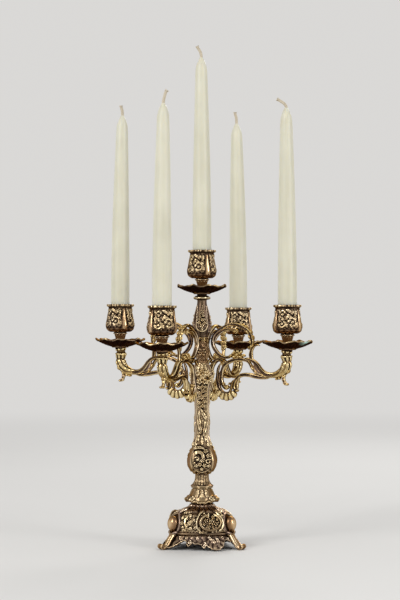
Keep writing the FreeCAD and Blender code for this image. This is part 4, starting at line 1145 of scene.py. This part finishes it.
# Paths in an arm's own plane as (distance from the axis, height), with the arm's seat at ARM_SEAT.
# Each strand: its path, how many sections, (share, half width) along it, half depth, side groove and tone.
ARM_SEAT = 226
STRANDS = [
    # the ring on top
    ([(38, 219.4), (28.6, 218.6), (21.6, 222), (15.8, 229), (13.6, 236), (15, 243), (20.2, 248.8), (27, 252.8),
      (34.5, 256), (42.5, 256.4), (50, 254), (56.6, 250.2), (61, 244.6), (63.2, 238), (62.6, 232.6), (59.4, 228.6),
      (57.4, 230.6)],
     210, [(0, 1), (0.05, 1.8), (0.22, 2.2), (0.4, 1.8), (0.6, 1.9), (0.72, 2.5), (0.84, 2.2), (0.95, 1.5),
           (1, 0.7)], 2.9, 0.3, 0.1),
    # a strand inside the ring
    ([(15.6, 234), (17.4, 240.6), (21.6, 245.6), (27.4, 249.4), (33.6, 251), (40, 250.8), (44, 249.4), (43.4, 247),
      (41.2, 247.4)],
     90, [(0, 0.6), (0.15, 1.5), (0.5, 1.7), (0.85, 1.4), (1, 0.8)], 2.3, 0.15, 0.1),
    # the C under the ring
    ([(61.2, 207), (60.4, 211.6), (56.8, 215), (50.4, 216.6), (43.4, 216.4), (36.2, 214.2), (30, 210.4),
      (26.6, 205.6), (25.2, 199), (25, 192), (26.8, 186.2), (30.2, 183.2), (33, 185)],
     200, [(0, 0.7), (0.06, 1.6), (0.25, 2.3), (0.5, 2.2), (0.8, 2), (0.94, 1.7), (1, 2.4)], 2.9, 0.3, 0.1),
    # the cradle round its foot
    ([(27.6, 206.4), (23, 199.6), (21.6, 191.4), (22.6, 184), (26, 179.2), (30.4, 177.6), (34.6, 178.6),
      (36.6, 182.4), (37.2, 187), (39.2, 191.2), (43.2, 194.4)],
     130, [(0, 0.7), (0.1, 1.3), (0.5, 1.5), (0.85, 1.4), (1, 0.6)], 2.6, 0.1, 0),
    # the lower rail with its scroll
    ([(86, 196.6), (76, 196), (68.4, 197), (60.6, 198.6), (53.2, 199), (47.6, 197.4), (43.6, 193.8), (41.2, 189.6),
      (40.4, 185.4), (41.6, 181.8), (44, 182.4)],
     150, [(0, 0.8), (0.1, 2), (0.35, 2.6), (0.6, 2.2), (0.85, 1.8), (0.95, 1.6), (1, 1.2)], 2.8, 0.34, 0.25),
    # the scroll's lip
    ([(47, 195.4), (45.2, 191.4), (44.4, 187.4), (44.6, 182.6)],
     40, [(0, 0.5), (0.3, 1.4), (0.8, 1.6), (1, 0.8)], 2.5, 0, 0),
    # the stem out to the pan
    ([(52, 217), (58.6, 216.8), (64.4, 214.6), (69.2, 210.4), (73.2, 205.2), (77.8, 200.9), (83.4, 199),
      (89.4, 199.2), (94.6, 201.2), (99.4, 204.6), (103, 208.4)],
     150, [(0, 0.7), (0.08, 1.7), (0.35, 2.6), (0.6, 3.1), (0.8, 3.4), (1, 3.6)], 3, 0.42, 0.2),
    # a strand under the stem
    ([(61.4, 212.4), (63.2, 207.4), (66.4, 202.8), (71, 199.4), (77, 197.6), (84, 197.2), (91, 198.6)],
     80, [(0, 0.6), (0.15, 1.6), (0.5, 2), (0.85, 1.5), (1, 0.6)], 2.5, 0.2, 0.3),
    # the web between them
    ([(65.6, 212), (68.2, 206.8), (71.6, 202.4), (76.4, 199.8)],
     50, [(0, 1.2), (0.3, 3), (0.7, 3), (1, 1.2)], 2.3, 0, -0.9),
    # the spur up to the ring
    ([(62.6, 215.4), (61.4, 221.4), (62.2, 227), (65.2, 231.4), (69, 233), (72.4, 232.2)],
     80, [(0, 1.8), (0.25, 2.6), (0.5, 1.9), (0.8, 1.1), (1, 0.5)], 1.9, 0.4, 0.5),
    # a strand along the column
    ([(23.4, 211.8), (20.8, 206), (19.6, 199.6), (19.4, 192.4), (20.8, 185), (23.8, 180)],
     70, [(0, 0.6), (0.2, 1.5), (0.6, 1.6), (1, 0.9)], 2.1, 0.15, 0.2),
    # the brace to the eyelet
    ([(12.4, 210.6), (15.6, 213.6), (19, 216), (23, 216.4), (28.6, 213.4)],
     60, [(0, 1), (0.3, 1.7), (0.7, 1.6), (1, 0.7)], 2.2, 0.25, 0.5),
]
PENDANT = [(101.8, 203.4), (101.6, 198.4), (101.6, 193.6), (103.2, 190), (105.6, 188.8)]
# Leaves and berries on the ring's outer side, at its foot and on the junctions: distance from the axis, height,
# half length, half height and lean in degrees.
LUMPS = [
    (51, 255.6, 2.4, 1.3, -20), (55.2, 253.4, 2.4, 1.4, -35), (57.6, 247.6, 3, 1.6, -55),
    (61.4, 248, 2.8, 1.4, -60), (60, 242.4, 2.8, 1.5, -72), (64, 241.4, 2.6, 1.3, -80),
    (61.2, 236.6, 2.6, 1.4, -88), (62, 231.4, 2.2, 1.3, -110), (36.4, 220.6, 2.6, 1.5, 30),
    (40.6, 219.4, 2.8, 1.6, 8), (44, 221.8, 2.8, 1.6, 20), (48.6, 219.4, 2.8, 1.5, -8), (52.4, 221, 2.4, 1.4, -24),
    (39.6, 223.4, 2.2, 1.3, 40), (47.4, 223.6, 2, 1.2, 0), (31.6, 184.6, 2.8, 2.4, -20),
    (41.8, 248.6, 2.6, 1.5, 10), (27.6, 188, 2, 1.3, -60), (63.4, 206.8, 2.6, 1.7, -65),
    (67.6, 201.6, 2.4, 1.4, -50), (35, 188.6, 1.6, 1.1, 60), (44.2, 180.6, 2, 1.5, 30), (96.4, 195.6, 1.9, 1.6, 30),
    (93, 194.8, 1.5, 1.3, 10), (105.6, 188.8, 1.7, 1.4, 0), (101.2, 197.6, 2.2, 1.6, -80),
    (107.4, 203.4, 2.6, 1.6, 55),
]
SHELL_CENTRE = (31.6, 187.6)


def shell_block(rise):
    """A crescent of five round lobes under the two scrolls, the same on both sides."""
    across = np.linspace(-1, 1, 110)[None, :]
    share = np.linspace(0, 1, 30)[:, None]
    direction = np.radians(-91 + 52 * across)
    flutes = np.abs(np.cos(across * math.pi * 2.5)) ** 0.55
    inner = 9.4 + 0.9 * across ** 2
    outer = (17.6 + 1.5 * flutes) * (1 - 0.13 * np.abs(across) ** 3)
    reach = inner + (outer - inner) * share
    x = SHELL_CENTRE[0] + reach * np.cos(direction)
    z = SHELL_CENTRE[1] + rise + reach * np.sin(direction)
    body = np.sqrt(np.clip(1 - share ** 4, 0, 1)) * np.clip(share / 0.1, 0, 1) ** 0.5
    half = (2 + 1.9 * flutes * (0.4 + 0.6 * share)) * body
    shade = 0.06 + 0.78 * flutes + 0.14 * np.sin(share * math.pi)
    points = np.concatenate([np.stack([x, half, z], axis=-1), np.stack([x, -half, z], axis=-1)[:, ::-1]], axis=1)
    return grid_block(points, np.concatenate([shade, shade[:, ::-1]], axis=1), closed_ends=False)


def husk_block(rise):
    """The bark-like leaves that clothe the arm's end under the drip pan."""
    path = curve_through([(89, 198.6), (95, 200.2), (100.2, 203), (103.6, 207), (105.3, 211.6), (105.4, 216.4),
                          (104.9, 221), (105.2, 225), (105.8, 228.4)], 96) + np.array([0, rise])
    share = np.linspace(0, 1, len(path))[:, None]
    spin = circle(76)
    girth = smooth_table(share, [(0, 2.6), (0.1, 3.4), (0.24, 4.4), (0.42, 4.9), (0.56, 5), (0.64, 4.7), (0.72, 5),
                                 (0.79, 5.7), (0.85, 4.9), (0.92, 5.5), (1, 5.2)])
    relief = Relief(spin * 5 + 0 * share, share * 36 + 0 * spin)
    relief.raise_to(0.9 * np.abs(np.sin(2 * spin + 2.4 * share)) ** 1.2 * fade(share, 0.6, 0.66))
    for x in np.arange(7) * 4.5:
        relief.leaf((x + 1.5, 22), (x + 2.8, 8), 4, 1.7, 3)
        relief.leaf((x + 0.6, 30), (x + 1.6, 22.6), 3.4, 1.5, 2)
        relief.bead((x + 3.4, 28.4), 1.4, 1.1)
        relief.bead((x + 1.2, 33.4), 1.5, 1.1)
    radius = girth + relief.height
    points = swept(path, radius * np.cos(spin), -radius * np.sin(spin) * 0.95)
    return grid_block(points, np.clip(worn(relief.height, 3, 3) * 1.55 - 0.16, 0, 1))


def eyelet_blocks(datum, thickness):
    """The arm's eye round the tie rod, and the strap that joins it to the scroll."""
    half = thickness / 2 - 0.06
    middle = datum + thickness / 2
    section = np.array([(3.2, -half, 0.2), (6.2, -half, 0.4), (6.9, -half * 0.6, 0.7), (7.1, 0, 0.75),
                        (6.9, half * 0.6, 0.7), (6.2, half, 0.4), (3.2, half, 0.2)])
    radius, height, shade = (section[:, [column]] + 0 * circle(64) for column in range(3))
    strap = np.stack([np.linspace(5.6, 14.5, 14), np.full(14, middle)], axis=1)
    eye = grid_block(ring_points(circle(64), radius, height + middle), shade, 0.3, around=True)
    return [eye, bar_sweep(strap, half, 3.2)]


def arm_blocks(rise):
    """One arm in the +X direction, raised by rise: its strands, lumps, pendant, shell and husk."""
    lift = np.array([0, rise])
    blocks = []
    for points, count, bands, depth, groove, tone in STRANDS:
        share = np.linspace(0, 1, count)
        depths = depth * np.clip(np.minimum(share / 0.06, (1 - share) / 0.05), 0.05, 1) ** 0.5
        path = curve_through(points + lift, count)
        blocks.append(bar_sweep(path, smooth_table(share, bands), depths, side_groove=groove, tone=tone))
    for x, z, long, wide, lean in LUMPS:
        for side in (-1, 1):
            blocks.append(pebble((x, side * 1.3, z + rise), (long, 2.2, wide), lean, shade=0.66))
    count = 50
    ripples = (1 + 0.14 * np.sin(np.linspace(0, 4 * TAU, count)))[:, None]
    path = curve_through(PENDANT + lift, count)
    blocks.append(bar_sweep(path, tapered(count, 2.6, 2, 2), tapered(count, 2.4, 2, 1.7), side_groove=0.1,
                            swell=ripples, tone=0))
    return blocks + [shell_block(rise), husk_block(rise)]


# ---------------------------------------------------------------- candles

# Each wick's bend: how far its end leans (to the right of the camera's view, towards it) and rises, in mm.
WICKS = {"centre": (-4.9, 0.6, 12.6), "right": (-10.4, 1, 9.4), "back": (-1.6, 0.8, 13.4), "left": (-1.4, 1, 11.4),
         "front": (4.2, -0.8, 14)}
VIEW_AZIMUTH = 24.5


def candle_block(length, bow):
    """A dipped taper that is a little out of true above its socket."""
    profile = [(0, 0.4), (0, 10.2), (0.6, 10.6), (22, 10.98), (47, 11), (72, 10.8), (96, 10.4), (120, 10),
               (145, 9.4), (169, 8.8), (193, 8.1), (217, 7.4), (229, 7), (234, 6.3), (238.4, 4.9), (241.4, 3.5),
               (243.4, 2.5), (245, 1.8), (245.4, 0.5)]
    angle, height, radius = lathe_grid([(z * length / 245, r) for z, r in profile], 150, 56)
    radius = radius * (1 + 0.006 * (lattice_noise(angle * 3 + 0 * height, height, 14, 81) - 0.5)
                       + 0.01 * (np.cos(8 * angle) - 1) * (height > 24))
    lean = np.clip((height - 24) / (length - 24), 0, 1) ** 1.6
    points = ring_points(angle, radius, height) + np.array([*bow, 0]) * lean[..., None]
    return grid_block(points, 0.5)


def wick_blocks(top, bend, hidden=6):
    """Three plaited strands that lean over and fray at the end."""
    lean, towards, rise = bend
    azimuth = math.radians(VIEW_AZIMUTH)
    right = np.array([math.cos(azimuth), math.sin(azimuth), 0])
    front = np.array([math.sin(azimuth), -math.cos(azimuth), 0])
    up = np.array([0, 0, 1])
    share = np.linspace(-0.4, 1, 70)
    sway = np.clip(share, 0, 1)
    path = (np.outer(sway ** 1.5 * lean + 0.5 * np.sin(sway * 6) * sway, right)
            + np.outer(sway ** 1.4 * towards, front)
            + np.outer(np.where(share < 0, share * hidden / 0.4, sway ** 0.85 * rise), up)) + np.array(top)
    step = unit_steps(path)
    side = np.cross(step, front)
    side /= np.linalg.norm(side, axis=1, keepdims=True)
    other = np.cross(side, step)

    def around(angle, radius):
        return radius * (side[:, None] * np.cos(angle)[..., None] + other[:, None] * np.sin(angle)[..., None])

    spread = 0.85 * (1 + 0.9 * np.clip((share - 0.86) / 0.14, 0, 1))[:, None, None]
    turn = share[:, None] * TAU * 2.4
    return [grid_block(path[:, None] + around(strand * TAU / 3 + turn, spread) + around(-circle(12), 0.95), 0.5)
            for strand in range(3)]


# ---------------------------------------------------------------- branches and tapers

# The arms' eyes from the lowest to the highest, and how thick each one is.
EYELET_ORDER = ["back", "front", "right", "left"]
EYELET = 1.2

# Which way each cup was set on its stem, in degrees.
CUP_TURNS = {"centre": -41, "right": -8, "back": -1, "left": -44, "front": 4}

# How far each taper's tip stands out of true along X and Y.
BOWS = {"centre": (-0.9, 0), "right": (-1.2, -0.4), "back": (-2, -0.8), "left": (2.2, 1), "front": (1.3, 0.5)}


def build_branches():
    """Every candle's pan, cup, taper and wick, and the arm that carries them if there is one."""
    for index, name in enumerate(["centre", *ARMS]):
        on_arm = name in ARMS
        direction = ARMS.get(name, 0)
        branch = f"branch_{name}" if on_arm else "stand"
        reach = np.linalg.norm([(low(f"wick_{name}", axis) + high(f"wick_{name}", axis)) / 2
                                for axis in (0, 1)]) if on_arm else 0
        out = math.radians(direction)
        place = np.array([reach * math.cos(out), reach * math.sin(out), 0])
        seat = low(f"pan_{name}")
        pan = moved_blocks([pan_block(2.7 if on_arm else 3.3, 0.7 * index)], place + np.array([0, 0, seat]))
        stain = rim_stain(place + turned(np.array([[20, -22, seat + 9]]), 25)[0], 9) if name == "right" else None
        make_piece(f"pan_{name}_casting", pan, BRASS, branch, [f"pan_{name}"], stain)
        cup = moved_blocks([cup_block(CUP_TURNS[name])], place + np.array([0, 0, low(f"cup_{name}")]))
        make_piece(f"cup_{name}_casting", cup, BRASS, branch, [f"cup_{name}"])
        bottom = low(f"candle_{name}")
        top = high(f"candle_{name}")
        bow = BOWS[name]
        candle = moved_blocks([candle_block(top - bottom, bow)], place + np.array([0, 0, bottom + 0.05]))
        make_piece(f"candle_{name}_taper", candle, WAX, f"taper_{name}", [f"candle_{name}"])
        wick = wick_blocks(place + np.array([bow[0], bow[1], top + 0.4]), WICKS[name])
        make_piece(f"wick_{name}_plait", wick, COTTON, f"taper_{name}", [f"wick_{name}"])
        if on_arm:
            datum = high("rosette_hub") + EYELET * EYELET_ORDER.index(name)
            arm = turn_blocks(arm_blocks(seat - ARM_SEAT) + eyelet_blocks(datum, EYELET), direction)
            make_piece(f"arm_{name}_casting", arm, YELLOW_BRASS, branch, [f"arm_{name}"])


build_branches()
for item in ("base_washer", "base_nut", "tie_rod", *(f"stud_{name}" for name in ARMS)):
    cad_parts[item].data.materials.clear()
    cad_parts[item].data.materials.append(STEEL)


# ---------------------------------------------------------------- stage, light and camera

BACKDROP = (0.7, 0.69, 0.675)


def paint_floor():
    """Matt and pale under the object, fading to the plain backdrop colour from 0.7 m outwards."""
    material, tree, shader = new_material("pale_floor")
    clouds = object_noise(tree, 1.2, 3, 0.5)
    colour = ramp(tree, clouds, [(0.2, (0.7, 0.69, 0.67)), (0.8, (0.74, 0.73, 0.71))])
    tree.links.new(colour, shader.inputs["Base Color"])
    shader.inputs["Roughness"].default_value = 0.75
    shader.inputs["Specular IOR Level"].default_value = 0.2
    place = tree.nodes.new("ShaderNodeTexCoord").outputs["Object"]
    distance = tree.nodes.new("ShaderNodeVectorMath")
    distance.operation = "LENGTH"
    tree.links.new(place, distance.inputs[0])
    far = node(tree, "ShaderNodeMapRange", interpolation_type="SMOOTHSTEP")
    far.inputs["From Min"].default_value = 0.7
    far.inputs["From Max"].default_value = 3
    tree.links.new(distance.outputs["Value"], far.inputs["Value"])
    glow = tree.nodes.new("ShaderNodeEmission")
    glow.inputs["Color"].default_value = (*BACKDROP, 1)
    blend = tree.nodes.new("ShaderNodeMixShader")
    tree.links.new(far.outputs["Result"], blend.inputs["Fac"])
    tree.links.new(shader.outputs["BSDF"], blend.inputs[1])
    tree.links.new(glow.outputs["Emission"], blend.inputs[2])
    tree.links.new(blend.outputs["Shader"], tree.nodes["Material Output"].inputs["Surface"])
    return material


def build_floor():
    """A round floor of 9 m radius."""
    count = 96
    angle = circle(count)[0]
    mesh = bpy.data.meshes.new("floor")
    mesh.from_pydata([(9 * math.cos(a), 9 * math.sin(a), 0) for a in angle], [], [list(range(count))])
    mesh.materials.append(paint_floor())
    floor = bpy.data.objects.new("floor", mesh)
    bpy.context.scene.collection.objects.link(floor)


def build_world():
    """Grey light; camera, glossy and transmission rays see the plain backdrop colour instead."""
    world = bpy.data.worlds.new("studio")
    bpy.context.scene.world = world
    world.use_nodes = True
    tree = world.node_tree
    rays = tree.nodes.new("ShaderNodeLightPath")
    seen = math_node(tree, "ADD", rays.outputs["Is Camera Ray"], rays.outputs["Is Glossy Ray"])
    seen = math_node(tree, "ADD", seen, rays.outputs["Is Transmission Ray"])
    plain = mix_colour(tree, seen, (0.48, 0.48, 0.48), BACKDROP)
    tree.links.new(plain, tree.nodes["Background"].inputs["Color"])
    tree.nodes["Background"].inputs["Strength"].default_value = 1


def add_softbox(name, place, target, size, watts):
    light = bpy.data.lights.new(name, "AREA")
    light.shape = "RECTANGLE"
    light.size, light.size_y = size
    light.energy = watts
    lamp = bpy.data.objects.new(name, light)
    lamp.location = place
    lamp.rotation_euler = (Vector(target) - Vector(place)).to_track_quat("-Z", "Y").to_euler()
    bpy.context.scene.collection.objects.link(lamp)


def beside_camera(right, towards, up):
    """A point in metres from the object: to the camera's right, towards it and up."""
    azimuth = math.radians(VIEW_AZIMUTH)
    return (right * math.cos(azimuth) + towards * math.sin(azimuth),
            right * math.sin(azimuth) - towards * math.cos(azimuth), up)


def build_camera():
    camera = bpy.data.cameras.new("camera")
    camera.sensor_width = 36
    camera.lens = 103.9
    camera.clip_end = 50
    eye = bpy.data.objects.new("camera", camera)
    eye.location = beside_camera(0, 2, 0.266)
    target = Vector(beside_camera(-0.0023, 0, 0.2845))
    eye.rotation_euler = (target - eye.location).to_track_quat("-Z", "Y").to_euler()
    bpy.context.scene.collection.objects.link(eye)
    bpy.context.scene.camera = eye


build_floor()
build_world()
middle = (0, 0, 0.3)
add_softbox("key", beside_camera(-1.5, 1.6, 1.5), middle, (0.9, 1.4), 30)
add_softbox("fill", beside_camera(1.7, 1.2, 0.9), middle, (0.7, 1.4), 16)
add_softbox("back", beside_camera(0.6, -1.7, 1.5), middle, (1.2, 0.8), 16)
build_camera()
bpy.context.scene.view_settings.view_transform = "Standard"
